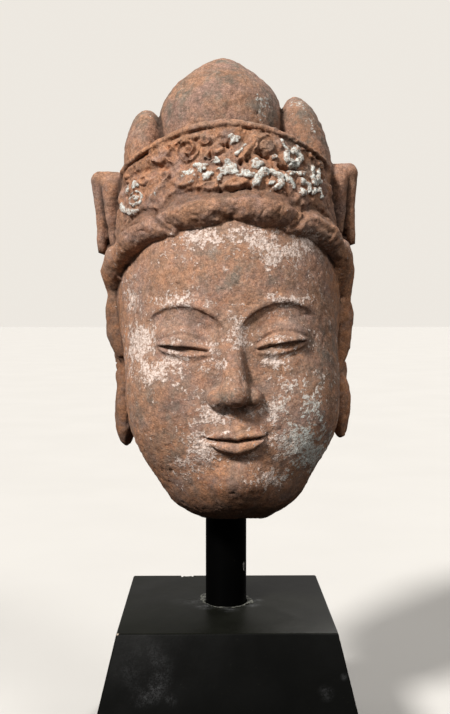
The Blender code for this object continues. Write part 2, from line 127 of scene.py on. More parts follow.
def strand(p: Points, points: Sequence[Sequence[float]], halves: Sequence[float]) -> Values:
    """Distance to a rounded strand.

    Args:
        p: Points to measure.
        points: Places that the strand runs through.
        halves: Its half thickness at each place.

    Returns:
        Distances, below zero inside.
    """
    knots = [np.array(point, float) for point in points]
    found = []
    for a, b, half_a, half_b in zip(knots, knots[1:], halves, halves[1:]):
        along = b - a
        t = np.clip((p - a) @ along / (along @ along), 0, 1)
        reach = np.linalg.norm(p - a - t[:, None] * along, axis=1)
        found.append(reach - (half_a + (half_b - half_a) * t))
    return np.min(found, axis=0)


def lumps(p: Points, size: float, seed: int) -> Values:
    """Smooth lattice noise from -1 to 1.

    Args:
        p: Points to read it at.
        size: Distance between lumps.
        seed: Which of many patterns to give.

    Returns:
        One value for each point.
    """
    q = p / size + seed * 7.31
    cell = np.floor(q).astype(np.int64)
    t = q - cell
    t = t * t * (3 - 2 * t)
    total = np.zeros(len(p))
    for corner in product((0, 1), repeat=3):
        x, y, z = ((cell + np.array(corner)) * CELL_PRIMES).T
        code = x ^ y ^ z ^ (seed * SEED_PRIME)
        code = ((code ^ (code >> 13)) * 1274126177) & 0xFFFFFFFF
        value = ((code ^ (code >> 16)) & 0xFFFF) / 32767.5 - 1
        share = np.where(np.array(corner) == 1, t, 1 - t)
        total += value * share[:, 0] * share[:, 1] * share[:, 2]
    return total


def rough(p: Points, size: float, seed: int, octaves: int = 3) -> Values:
    """Sum of finer and finer lumps.

    Args:
        p: Points to read it at.
        size: Size of the largest lumps.
        seed: Which of many patterns to give.
        octaves: How many sizes are added, each half as large.

    Returns:
        One value for each point, mostly from -1 to 1.
    """
    total = np.zeros(len(p))
    for k in range(octaves):
        total += lumps(p, size / 2**k, seed + k) * 0.5**k
    return total / 1.4


class Motif(Enum):
    """Kinds of carved ornament on the crown."""

    SCROLL = "scroll"
    LEAF = "leaf"
    PETAL = "petal"
    FLAKE = "flake"
    HOLE = "hole"


SCROLL, LEAF, PETAL, FLAKE, HOLE = Motif


@dataclass(frozen=True)
class Ornament:
    """One carved motif, placed by its angle from the front and its height."""

    motif: Motif
    angle: float
    z: float
    half_width: float
    half_height: float
    turn: float = 0.0
    white: float = 0.0

    def form(self, along: Values, up: Values) -> Values:
        """Raised form of the motif.

        Args:
            along: Arc lengths along the band from its front.
            up: Heights.

        Returns:
            Heights from 0 to 1, and below 0 in a drilled hole.
        """
        forms = {
            SCROLL: self._scroll, LEAF: self._leaf, PETAL: self._petal, FLAKE: self._flake, HOLE: self._hole
        }
        u = (along - radians(self.angle) * BAND_RADIUS) / self.half_width
        v = (up - self.z) / self.half_height
        height = np.zeros(len(u))
        near = np.hypot(u, v) < MOTIF_REACH
        height[near] = forms[self.motif](u[near], v[near])
        return height

    def _turned(self, u: Values, v: Values) -> tuple[Values, Values]:
        """Return the place along and across the motif."""
        c, s = cos(radians(self.turn)), sin(radians(self.turn))
        return u * s + v * c, u * c - v * s

    def _leaf(self, u: Values, v: Values) -> Values:
        """Pointed leaf with a groove along its middle.

        Args:
            u: Places across the motif, in half widths.
            v: Places up the motif, in half heights.

        Returns:
            Heights from 0 to 1.
        """
        along, across = self._turned(u, v)
        width = np.clip(1 - along**2, 0, 1) * 0.80
        body = np.sqrt(np.clip(1 - (across / np.maximum(width, 1e-3)) ** 2, 0, 1)) * (width / 0.80) ** 0.4
        return body - 0.35 * body * bell(across, 0.15)

    def _petal(self, u: Values, v: Values) -> Values:
        """Return a rounded petal with a sunk middle."""
        along, across = self._turned(u, v)
        return ramp(1.12, 0.74, np.hypot(along, across)) - 0.45 * bell(np.hypot(along + 0.12, across), 0.42)

    def _flake(self, u: Values, v: Values) -> Values:
        """Flat chip with an angular outline.

        Args:
            u: Places across the motif, in half widths.
            v: Places up the motif, in half heights.

        Returns:
            Heights from 0 to 1.
        """
        along, across = self._turned(u, v)
        way = np.arctan2(across, along)
        edge = 1 + 0.16 * np.sin(3 * way + self.angle) + 0.12 * np.sin(5 * way + 2 * self.angle)
        return ramp(1.08, 0.70, np.hypot(along, across) / edge)

    def _scroll(self, u: Values, v: Values) -> Values:
        """Spiral that winds in to a small boss.

        Args:
            u: Places across the motif, in half widths.
            v: Places up the motif, in half heights.

        Returns:
            Heights from 0 to 1.
        """
        reach = np.hypot(u, v)
        turn = (np.arctan2(v, u) / (2 * pi) - self.turn / 360) % 1
        offset = (reach / 0.62 - turn + 0.5) % 1 - 0.5
        arm = bell(offset * 0.62, 0.150) * ramp(1.16, 0.92, reach - 0.10 * turn)
        return np.maximum(arm, 0.9 * bell(reach, 0.24))

    def _hole(self, u: Values, v: Values) -> Values:
        """Return a drilled hole."""
        return -1.5 * bell(np.hypot(u, v), 1.0) ** 2


@dataclass(frozen=True)
class Stroke:
    """A raised stem or a cut groove that runs through places on the crown or the hair band."""

    course: tuple[tuple[float, float], ...]
    half: float
    white: float = 0.0
    height: float = 1.0

    def form(self, along: Values, up: Values) -> Values:
        """Raised form of the stroke.

        Args:
            along: Arc lengths along the band from its front.
            up: Heights.

        Returns:
            The stroke's height on its course, fading to 0 beside it.
        """
        p = np.column_stack((along, up, np.zeros(len(up))))
        course = [(radians(angle) * BAND_RADIUS, z, 0) for angle, z in self.course]
        places = np.array(course)
        low, high = places.min(axis=0) - 3 * self.half, places.max(axis=0) + 3 * self.half
        near = np.all((p[:, :2] > low[:2]) & (p[:, :2] < high[:2]), axis=1)
        height = np.zeros(len(p))
        reach = strand(p[near], course, [0.0] * len(course))
        height[near] = self.height * bell(reach, self.half) ** 0.8
        return height


@dataclass(frozen=True)
class Patch:
    """Soft patch on the head, in shares seen from the front, used for white ground, staining, painted shade
    and painted light.
    """

    x: float
    z: float
    half_width: float
    half_height: float
    strength: float = 1.0
    turn: float = 0.0

    def cover(self, x: Values, z: Values) -> Values:
        """Strength of the patch at each place.

        Args:
            x: Places across the head.
            z: Heights.

        Returns:
            The patch's strength at its centre, fading to 0.
        """
        c, s = cos(radians(self.turn)), sin(radians(self.turn))
        dx, dz = x - self.x, z - self.z
        a = (dx * c + dz * s) / self.half_width
        b = (dz * c - dx * s) / self.half_height
        return self.strength * np.exp(-((a * a + b * b) ** 0.85))


@dataclass
class Skull:
    """Skull, by its half sizes, and the face that is laid out on it in courts."""

    centre_z: float = 0.455
    half_width: float = 0.236
    half_depth: float = 0.258
    half_height: float = 0.350
    hairline: float = 0.610
    chin: float = 0.060
    face_width: float = 0.475
    # How far each feature is raised or cut, in the order from brow to mouth.
    brow_edge: float = 0.0040
    brow_hollow: float = 0.0080
    slit_depth: float = 0.0042
    eyeball_rise: float = 0.0022
    lid_cut: float = 0.0034
    upper_lid: float = 0.0050
    upper_fold: float = 0.0040
    lower_lid: float = 0.0034
    lower_fold: float = 0.0022
    upper_lip: float = 0.0100
    lower_lip: float = 0.0130
    lip_line: float = 0.0095
    lip_corner: float = 0.0050
    chin_dent: float = 0.0060
    lip_dent: float = 0.0040
    wing_crease: float = 0.0040

    def __post_init__(self) -> None:
        """Work out the three courts and five eye widths."""
        self.court = (self.hairline - self.chin) / 3
        self.brow_z = self.chin + 2 * self.court
        self.nose_z = self.chin + self.court
        self.mouth_z = self.nose_z - self.court / 3
        self.eye_width = self.face_width / 5
        self.eye_z = self.brow_z - 0.28 * self.court

    def place(self, angle_deg: float, z: float, out: float) -> Triple:
        """Point on the skull.

        Args:
            angle_deg: Angle from the front, positive towards +X.
            z: Height.
            out: Distance that the point is moved outwards.

        Returns:
            The point's coordinates.
        """
        share = sqrt(max(1 - ((z - self.centre_z) / self.half_height) ** 2, 0))
        s, c = sin(radians(angle_deg)), cos(radians(angle_deg))
        reach = 1 / np.hypot(s / (self.half_width * share), c / (self.half_depth * share)) + out
        return s * reach, 0.01 - c * reach, z

    def mass(self, p: Points, side: Points) -> Values:
        """Skull, cheeks, jaw, chin, eye sockets, lids and nose.

        Args:
            p: Points to measure.
            side: The same points mirrored to the +X side.

        Returns:
            Distances to the face's masses.
        """
        d = egg(p, (0, 0.01, self.centre_z), (self.half_width, self.half_depth, self.half_height))
        d = blend(d, egg(p, (0, -0.05, 0.32), (0.228, 0.198, 0.28)), 0.03)
        d = blend(d, egg(p, (0, -0.062, 0.196), (0.200, 0.182, 0.196)), 0.04)
        d = blend(d, egg(side, (0.115, -0.115, 0.25), (0.10, 0.105, 0.12)), 0.05)
        d = blend(d, egg(p, (0, -0.165, 0.19), (0.085, 0.078, 0.065)), 0.04)
        d = blend(d, egg(p, (0, -0.19, 0.096), (0.055, 0.052, 0.036)), 0.04)
        d = blend(d, egg(p, (0, -0.078, 0.066), (0.128, 0.122, 0.064)), 0.05)
        socket = egg(side, (0.083, -0.277, self.eye_z + 0.026), (0.062, 0.046, 0.030))
        d = blend(trim(d, -socket, 0.03), self._nose(p, side), 0.016)
        nostril = egg(side, (0.017, -0.260, self.nose_z + 0.001), (0.010, 0.014, 0.010))
        d = trim(d, -nostril, 0.006)
        lid = egg(side, (self.eye_width, -0.189, self.eye_z + 0.010), (0.058, 0.051, 0.038))
        return blend(d, lid, 0.012)

    def _nose(self, p: Points, side: Points) -> Values:
        """Bridge, tip and wings of the nose.

        Args:
            p: Points to measure.
            side: The same points mirrored to the +X side.

        Returns:
            Distances to the nose.
        """
        tip_z = self.nose_z + 0.032
        bridge = ((0, -0.230, self.brow_z), (0, -0.250, self.brow_z - 0.07), (0, -0.272, tip_z + 0.01))
        d = strand(p, bridge, (0.018, 0.020, 0.025))
        d = blend(d, egg(p, (0, -0.272, tip_z), (0.030, 0.030, 0.026)), 0.012)
        return blend(d, egg(side, (0.034, -0.248, tip_z - 0.008), (0.021, 0.030, 0.021)), 0.008)

    def relief(self, p: Points) -> Values:
        """Fine cuts of the face.

        Args:
            p: Points on the settled surface.

        Returns:
            Distances to raise each point.
        """
        x, z = np.abs(p[:, 0]), p[:, 2]
        depth = self._brow(x, z) + self._eye(x, z) + self._mouth(x, z) + self._folds(x, z)
        return depth * np.clip((-0.10 - p[:, 1]) / 0.06, 0, 1)

    def _brow(self, x: Values, z: Values) -> Values:
        """Brow's edge, with the hollow cut in below it.

        Args:
            x: Distances from the middle.
            z: Heights.

        Returns:
            Distances to raise each place.
        """
        t = np.clip((x - 0.018) / 0.160, 0, 1)
        edge = self.brow_z - 0.020 + 0.008 * t + 0.040 * (4 * t * (1 - t)) ** 0.8
        ends = ramp(0.008, 0.036, x) * ramp(0.188, 0.145, x)
        below = np.clip(edge - z, 0, None)
        hollow = (1 - np.exp(-below / 0.005)) * np.exp(-below / 0.018)
        return ends * (self.brow_edge * bell(z - edge - 0.006, 0.009) - self.brow_hollow * hollow)

    def _eye(self, x: Values, z: Values) -> Values:
        """Lids with their rolled edges, the fold over them and the eyeball between.

        Args:
            x: Distances from the middle.
            z: Heights.

        Returns:
            Distances to raise each place.
        """
        inner = self.eye_width / 2
        t = (x - inner) / (1.05 * self.eye_width)
        s = np.clip(t, 0, 1)
        arch = (4 * s * (1 - s)) ** 0.9
        corner = self.eye_z - 0.015 + 0.012 * s**1.5
        upper, lower = corner + 0.0050 * arch, corner - 0.0058 * arch
        reach = ramp(-0.14, 0.08, t) * ramp(1.16, 0.88, t)
        within = ramp(-0.04, 0.08, t) * ramp(1.04, 0.90, t)
        slit = ramp(-0.0020, 0.0012, upper - z) * ramp(-0.0020, 0.0012, z - lower) * within
        depth = -slit * (self.slit_depth - self.eyeball_rise * bell(x - self.eye_width, 0.024))
        depth -= self.lid_cut * within * bell(z - upper + 0.0010, 0.0017)
        depth += self.upper_lid * reach * bell(z - upper - 0.0052, 0.0052)
        depth -= self.upper_fold * reach * bell(z - upper - 0.010 - 0.016 * arch, 0.0042)
        depth += self.lower_lid * reach * bell(z - lower + 0.0056, 0.0050)
        return depth - self.lower_fold * reach * bell(z - lower + 0.010 + 0.010 * arch, 0.0055)

    def _mouth(self, x: Values, z: Values) -> Values:
        """Lips, their parting, the corners and the dent over the upper lip.

        Args:
            x: Distances from the middle.
            z: Heights.

        Returns:
            Distances to raise each place.
        """
        half = 0.66 * self.eye_width
        s = np.clip(x / half, 0, 1)
        body = np.sqrt(1 - s**2)
        line = self.mouth_z + 0.005 * s**2 - 0.0020 * bell(x, 0.011)
        over = 0.0225 * body**1.3 - 0.0045 * bell(x, 0.009) + 1e-4
        under = 0.0280 * np.clip(1 - (x / (0.88 * half)) ** 2, 0, 1) ** 0.6 + 1e-4
        depth = self.upper_lip * np.sin(pi * np.clip((z - line) / over, 0, 1)) ** 0.7 * body**0.6
        depth += self.lower_lip * np.sin(pi * np.clip((line - z) / under, 0, 1)) ** 0.7 * body**0.6
        depth -= self.lip_line * bell(z - line, 0.0030) * ramp(1.10 * half, 0.90 * half, x)
        depth -= self.lip_corner * bell(x - 1.06 * half, 0.009) * bell(z - self.mouth_z - 0.005, 0.010)
        depth -= self.chin_dent * bell(x, 0.034) * bell(z - self.mouth_z + 0.041, 0.009)
        dent = ramp(self.mouth_z + 0.018, self.mouth_z + 0.030, z)
        dent *= ramp(self.nose_z + 0.002, self.nose_z - 0.012, z)
        return depth - self.lip_dent * bell(x, 0.007) * dent

    def _folds(self, x: Values, z: Values) -> Values:
        """Return the crease beside each wing of the nose."""
        wing = np.hypot((x - 0.034) / 0.026, (z - self.nose_z - 0.022) / 0.026) - 1
        return -self.wing_crease * bell(wing, 0.16) * ramp(0.030, 0.045, x)


@dataclass
class Ear:
    """Long ear with a rolled rim."""

    rim_half: float = 0.010

    def mass(self, side: Points) -> Values:
        """Shell, rim, hollow and lobe.

        Args:
            side: Points mirrored to the +X side.

        Returns:
            Distances to the ear.
        """
        d = egg(side, (0.232, 0.085, 0.315), (0.026, 0.058, 0.125))
        d = blend(d, egg(side, (0.242, 0.040, 0.222), (0.025, 0.042, 0.080)), 0.02)
        turns = np.linspace(0, 1, 9)
        rim_y = 0.090 - 0.052 * np.cos(pi * (1.25 * turns + 0.05))
        rim_z = 0.345 + 0.098 * np.sin(1.15 * pi * turns)
        rim = list(zip(0.252 + 0.008 * np.sin(pi * turns), rim_y, rim_z))
        d = blend(d, strand(side, rim, self.rim_half + 0.003 * np.sin(pi * turns)), 0.010)
        d = trim(d, -egg(side, (0.274, 0.082, 0.330), (0.022, 0.026, 0.050)), 0.010)
        fold = ((0.256, 0.085, 0.395), (0.260, 0.108, 0.355), (0.257, 0.100, 0.290))
        d = blend(d, strand(side, fold, (0.007, 0.009, 0.008)), 0.008)
        return blend(d, egg(side, (0.254, 0.044, 0.300), (0.010, 0.012, 0.020)), 0.008)


@dataclass
class RibbonEnd:
    """End of the crown's ribbon: a plump loop above, with two pleats that hang from it."""

    top_z: float = 0.742

    def mass(self, side: Points) -> Values:
        """Loop, pleats and the fold behind them.

        Args:
            side: Points mirrored to the +X side.

        Returns:
            Distances to the ribbon's end.
        """
        top = self.top_z
        roll = ((0.238, 0.018, top - 0.004), (0.278, 0.028, top))
        outer = ((0.279, 0.032, top - 0.010), (0.2785, 0.040, top - 0.078), (0.280, 0.046, top - 0.168))
        inner = ((0.250, 0.014, top - 0.022), (0.253, 0.018, top - 0.084), (0.250, 0.034, top - 0.142))
        behind = ((0.252, 0.058, top - 0.008), (0.270, 0.064, top - 0.070), (0.270, 0.070, top - 0.160))
        d = strand(side, roll, (0.018, 0.016))
        d = blend(d, strand(side, outer, (0.018, 0.012, 0.010)), 0.010)
        d = blend(d, strand(side, inner, (0.022, 0.014, 0.010)), 0.008)
        return blend(d, strand(side, behind, (0.024, 0.020, 0.014)), 0.006)


@dataclass
class Crown:
    """Leaning band with a rolled rim, open at the top, with two tiers of scrollwork."""

    axis_y: float = 0.02
    top_back: float = 0.735
    top_rise: float = 0.082
    foot_back: float = 0.553
    foot_rise: float = 0.100
    half_width: float = 0.250
    half_depth: float = 0.252
    # The wall leans in over these levels, by these shares of the height over them.
    side_level: float = 0.583
    front_level: float = 0.657
    side_lean: float = 0.156
    front_lean: float = 0.30
    back_lean: float = 0.15
    wall: float = 0.040
    floor_drop: float = 0.035
    rim: float = 0.014
    foot_roll: float = 0.011
    relief_height: float = 0.0128
    ground_level: float = 0.58
    warp: float = 0.0020
    rag: float = 0.0026
    rim_groove: float = 0.0110
    rim_drop: float = 0.0110
    worn_folds: float = 0.42
    worn_swell: float = 0.14
    worn_grain: float = 0.14
    white_from: float = 0.6
    # Strength of the painted shade in the drilled holes.
    hole_shade: float = 3.2
    ornaments: tuple[Ornament, ...] = rows(
        Ornament,
        (PETAL, -37.6, 0.759, 0.03, 0.021, 80), (SCROLL, -20.1, 0.766, 0.025, 0.026, 60),
        (PETAL, -10.6, 0.781, 0.014, 0.013, 30), (PETAL, -3.7, 0.764, 0.015, 0.013, 60),
        (LEAF, -6.9, 0.741, 0.015, 0.011, 70), (LEAF, -1.5, 0.792, 0.015, 0.009, 80),
        (FLAKE, 4.9, 0.782, 0.0145, 0.01, 20, 1.0), (HOLE, -1.4, 0.769, 0.0066, 0.0056),
        (HOLE, 1.7, 0.77, 0.0066, 0.0056), (HOLE, 7.8, 0.733, 0.0066, 0.0058),
        (HOLE, 10.8, 0.74, 0.0062, 0.0062), (PETAL, 22.4, 0.767, 0.021, 0.015, 90),
        (PETAL, 48.2, 0.771, 0.015, 0.009), (PETAL, 55.2, 0.758, 0.017, 0.009),
        (PETAL, 62.1, 0.739, 0.018, 0.01, 0, 0.3), (HOLE, 66.5, 0.713, 0.014, 0.0125),
        (SCROLL, -52.4, 0.676, 0.0265, 0.0165, 200, 0.9), (FLAKE, -54.3, 0.707, 0.015, 0.0086, 0, 0.8),
        (FLAKE, -63.0, 0.7, 0.011, 0.0088, 0, 0.7), (PETAL, -21.4, 0.705, 0.028, 0.019, 80, 0.25),
        (PETAL, -32.1, 0.714, 0.017, 0.0125, 60), (PETAL, -46.9, 0.712, 0.02, 0.0105, 60),
        (FLAKE, -12.8, 0.726, 0.015, 0.012, 30, 1.0), (FLAKE, -9.4, 0.708, 0.012, 0.0105, -20, 1.0),
        (FLAKE, -18.4, 0.719, 0.012, 0.0066, 0, 0.9), (FLAKE, -10.7, 0.747, 0.0046, 0.0056, 0, 0.7),
        (FLAKE, -4.6, 0.738, 0.009, 0.01, 0, 0.9), (HOLE, -8.0, 0.751, 0.006, 0.0056),
        (FLAKE, 1.1, 0.721, 0.0215, 0.0165, 0, 1.0), (FLAKE, 9.2, 0.709, 0.0165, 0.0105, 10, 1.0),
        (FLAKE, 15.2, 0.73, 0.012, 0.0108, 0, 1.0), (PETAL, 4.3, 0.691, 0.026, 0.0115, 90),
        (PETAL, -7.7, 0.687, 0.018, 0.011, 80), (FLAKE, 21.6, 0.691, 0.0078, 0.0068, 0, 0.9),
        (FLAKE, 34.8, 0.713, 0.008, 0.0066, 0, 0.7), (FLAKE, 41.3, 0.716, 0.013, 0.0066, 0, 0.7),
        (FLAKE, 28.2, 0.671, 0.0075, 0.0058, 0, 0.8), (FLAKE, 39.5, 0.673, 0.009, 0.0066, 0, 0.8),
        (FLAKE, 53.2, 0.704, 0.02, 0.013, 0, 1.0), (FLAKE, 25.7, 0.745, 0.0062, 0.0056, 0, 0.7),
        (LEAF, 63.5, 0.691, 0.018, 0.02, 20), (LEAF, -67.4, 0.726, 0.018, 0.012, 70),
    )
    stems: tuple[Stroke, ...] = rows(
        Stroke,
        (((-46.1, 0.754), (-45.4, 0.77), (-39.8, 0.782), (-32.5, 0.783), (-27.8, 0.771)), 0.005),
        (((-28.2, 0.739), (-32.4, 0.754), (-29.3, 0.775), (-22.0, 0.79), (-13.7, 0.79)), 0.0048),
        (((8.4, 0.742), (12.2, 0.762), (16.5, 0.781)), 0.0095, 0.0, 1.1),
        (((15.3, 0.758), (16.9, 0.78), (23.3, 0.793), (29.5, 0.784), (30.8, 0.766)), 0.0052),
        (((33.3, 0.788), (31.9, 0.778), (33.8, 0.765), (35.2, 0.757)), 0.0042, 0.9),
        (((35.2, 0.79), (39.5, 0.782), (42.6, 0.773), (42.8, 0.765)), 0.0046, 0.9),
        (((34.9, 0.757), (33.2, 0.744), (35.8, 0.733), (40.4, 0.734), (44.8, 0.745), (42.6, 0.757),
          (39.1, 0.761)), 0.0052, 1.0, 1.15),
        (((28.8, 0.728), (33.8, 0.722), (40.0, 0.723), (47.2, 0.739)), 0.0042, 0.0, -1.1),
        (((16.3, 0.756), (19.1, 0.748), (22.7, 0.741)), 0.0042, 0.0, -1.2),
        (((-76.8, 0.714), (-65.4, 0.727), (-55.2, 0.734), (-43.0, 0.737),
          (-32.7, 0.733)), 0.0046, 0.0, -0.6),
        (((-70.3, 0.669), (-64.4, 0.659), (-56.4, 0.651), (-49.4, 0.649)), 0.006, 1.0),
        (((-43.2, 0.682), (-42.5, 0.697), (-40.3, 0.71)), 0.0065),
        (((-38.8, 0.674), (-36.0, 0.687), (-32.7, 0.7)), 0.008, 0.35),
        (((-16.2, 0.717), (-14.3, 0.701), (-14.4, 0.685)), 0.0046),
        (((-2.1, 0.718), (-3.7, 0.7)), 0.0046, 1.0),
        (((10.2, 0.771), (8.1, 0.761), (5.5, 0.75)), 0.0038, 0.9),
        (((-3.3, 0.681), (3.6, 0.677), (11.2, 0.682)), 0.004, 0.0, -0.8),
        (((13.6, 0.683), (15.0, 0.698), (18.1, 0.711), (23.0, 0.714), (27.5, 0.706), (27.4, 0.689),
          (23.4, 0.676)), 0.0054, 1.0, 1.1),
        (((31.3, 0.705), (33.0, 0.695), (34.8, 0.685)), 0.0048, 1.0),
        (((41.5, 0.699), (45.0, 0.691), (45.4, 0.679)), 0.0056, 1.0),
        (((52.5, 0.707), (52.1, 0.729)), 0.0046, 1.0), (((54.1, 0.707), (59.7, 0.726)), 0.0046, 1.0),
        (((47.5, 0.673), (50.7, 0.681), (55.0, 0.684), (56.7, 0.671)), 0.0048, 1.0),
        (((-6.3, 0.805), (1.1, 0.805), (8.5, 0.802)), 0.004),
    )

    def angle_of(self, p: Points) -> Values:
        """Return the angle round the crown's axis, 0 at the front."""
        return np.arctan2(p[:, 0], self.axis_y - p[:, 1])

    def top(self, angle: Values) -> Values:
        """Return the height of the rim."""
        return self.top_back + self.top_rise * ((1 + np.cos(angle)) / 2) ** 3.5

    def foot(self, angle: Values) -> Values:
        """Return the height of the band's foot."""
        return self.foot_back + self.foot_rise * ((1 + np.cos(angle)) / 2) ** 3

    def front_share(self, angle: Values) -> Values:
        """Return 1 at the front, fading to a third at the back."""
        return 1 - 0.67 * ramp(1.3, 2.0, np.abs(angle))

    def reach(self, p: Points, grow: float = 0.0) -> Values:
        """Distance outwards from the leaning wall.

        Args:
            p: Points to measure.
            grow: Distance that the wall is moved outwards first.

        Returns:
            Distances, below zero inside the wall.
        """
        over = p[:, 2] - self.side_level
        half_width = self.half_width - over * self.side_lean + grow
        front = self.half_depth - (p[:, 2] - self.front_level) * self.front_lean
        back = self.half_width - over * self.back_lean
        y = p[:, 1] - self.axis_y
        half_depth = np.where(y < 0, front, back) + grow
        k0 = np.hypot(p[:, 0] / half_width, y / half_depth)
        k1 = np.hypot(p[:, 0] / half_width**2, y / half_depth**2)
        return k0 * (k0 - 1) / np.maximum(k1, 1e-9)

    def mass(self, p: Points) -> Values:
        """Wall, rolled rim and rolled foot.

        Args:
            p: Points to measure.

        Returns:
            Distances to the crown.
        """
        angle = self.angle_of(p)
        top, foot = self.top(angle), self.foot(angle)
        wall = trim(self.reach(p), p[:, 2] - top, 0.012)
        wall = trim(wall, foot - p[:, 2], 0.012)
        well = trim(self.reach(p, -self.wall), top - self.floor_drop - p[:, 2], 0.02)
        wall = trim(wall, -well, 0.015)
        rim = np.hypot(self.reach(p, -0.006), p[:, 2] - top + 0.006) - self.rim
        roll = self.foot_roll * (1 - ((1 + np.cos(angle)) / 2) ** 2)
        edge = np.hypot(self.reach(p, -0.002), p[:, 2] - foot - 0.006) - roll
        return blend(blend(wall, rim, 0.006), edge, 0.006)

    def all_ornaments(self) -> tuple[Ornament, ...]:
        """Front's ornaments, and the plainer row that runs on round the back.

        Returns:
            All ornaments in the order in which they are blended.
        """
        back = []
        for k, angle in enumerate((84, 103, 122, 141, 160, 179)):
            motif = SCROLL if k % 2 == 0 else LEAF
            for way in (-1, 1):
                back.append(Ornament(motif, way * angle, 0.646, 0.028, 0.031, 90 + way * 40))
                back.append(Ornament(PETAL, way * (angle - 9), 0.690, 0.015, 0.017, 90 - way * 30))
                back.append(Ornament(LEAF, way * (angle + 9), 0.606, 0.012, 0.017, 90 + way * 30))
        return self.ornaments + tuple(back)

    def relief(self, p: Points) -> tuple[Values, Values, Values]:
        """Carved ornament of the band.

        Args:
            p: Points on the settled surface.

        Returns:
            Distances to raise each point, how strongly white ground clings to it, and the painted shade
            that darkens the ground between the motifs, the groove under the rim and the drilled holes.
        """
        angle = self.angle_of(p)
        top, foot = self.top(angle), self.foot(angle)
        along = angle * BAND_RADIUS + self.warp * lumps(p, 0.018, 81)
        up = p[:, 2] + self.warp * lumps(p, 0.018, 82)
        ragged = self.rag * lumps(p, 0.0080, 83), self.rag * lumps(p, 0.0080, 84)
        raised, hollow, white = np.zeros(len(p)), np.zeros(len(p)), np.zeros(len(p))
        for ornament in self.all_ornaments() + self.stems:
            if ornament.white > self.white_from:
                form = ornament.form(along + ragged[0], up + ragged[1])
                form = np.where(form > 0, ramp(0.06, 0.66, form) * 0.80, form)
            else:
                form = ornament.form(along + 0.4 * ragged[0], up + 0.4 * ragged[1])
            raised = -blend(-raised, -form, 0.25)
            hollow = np.minimum(hollow, form)
            white = np.maximum(white, ornament.white * ramp(0.10, 0.55, form))
        worn = self.worn_folds * np.abs(rough(p, 0.022, 91, 2)) + self.worn_swell * rough(p, 0.040, 95, 1)
        worn = worn * (1 - 0.55 * np.clip(raised, 0, 1)) + self.worn_grain * rough(p, 0.0065, 93, 2)
        chipped = 1 - 0.30 * np.clip(rough(p, 0.024, 97, 2), 0, 1)
        depth = raised * chipped + hollow - self.ground_level + worn
        drop = top - p[:, 2] + 0.0026 * lumps(p, 0.045, 99)
        wall = self.reach(p)
        outside = ramp(-0.016, -0.004, wall)
        inside = ramp(0.0, 0.010, p[:, 2] - foot) * ramp(0.007, 0.013, drop)
        inside *= outside * ramp(0.034, 0.018, wall)
        groove = bell(drop - self.rim_drop, 0.0048) * outside * self.front_share(angle)
        # Painted shade in the drilled holes; below, also on the ground between the motifs and in the groove
        # under the rim.
        holes = self.hole_shade * inside * ramp(0.6, 1.3, -hollow)
        low = np.maximum.reduce((inside * ramp(0.70, 0.10, raised + worn), groove, holes))
        return depth * inside * self.relief_height - self.rim_groove * groove, white * inside, low


@dataclass
class HairKnot:
    """High knot of hair with a blunt point, between two lower loops."""

    top: float = 1.0
    half: float = 0.136
    slope: float = 0.66
    point_round: float = 0.020

    def mass(self, p: Points) -> Values:
        """Knot, point and loops.

        Args:
            p: Points to measure.

        Returns:
            Distances to the knot.
        """
        d = egg(p, (-0.004, 0.03, self.top - 0.16), (self.half, self.half, 0.20))
        reach = np.sqrt((p[:, 0] - 0.002) ** 2 + (p[:, 1] - 0.03) ** 2 + self.point_round**2)
        slope = p[:, 2] - self.top + self.slope * (reach - self.point_round)
        d = trim(d, slope / sqrt(1 + self.slope**2), 0.04)
        d = blend(d, egg(p, (-0.175, 0.035, 0.775), (0.048, 0.085, 0.113), 5), 0.006)
        return blend(d, egg(p, (0.182, 0.035, 0.778), (0.054, 0.085, 0.131), -11), 0.006)


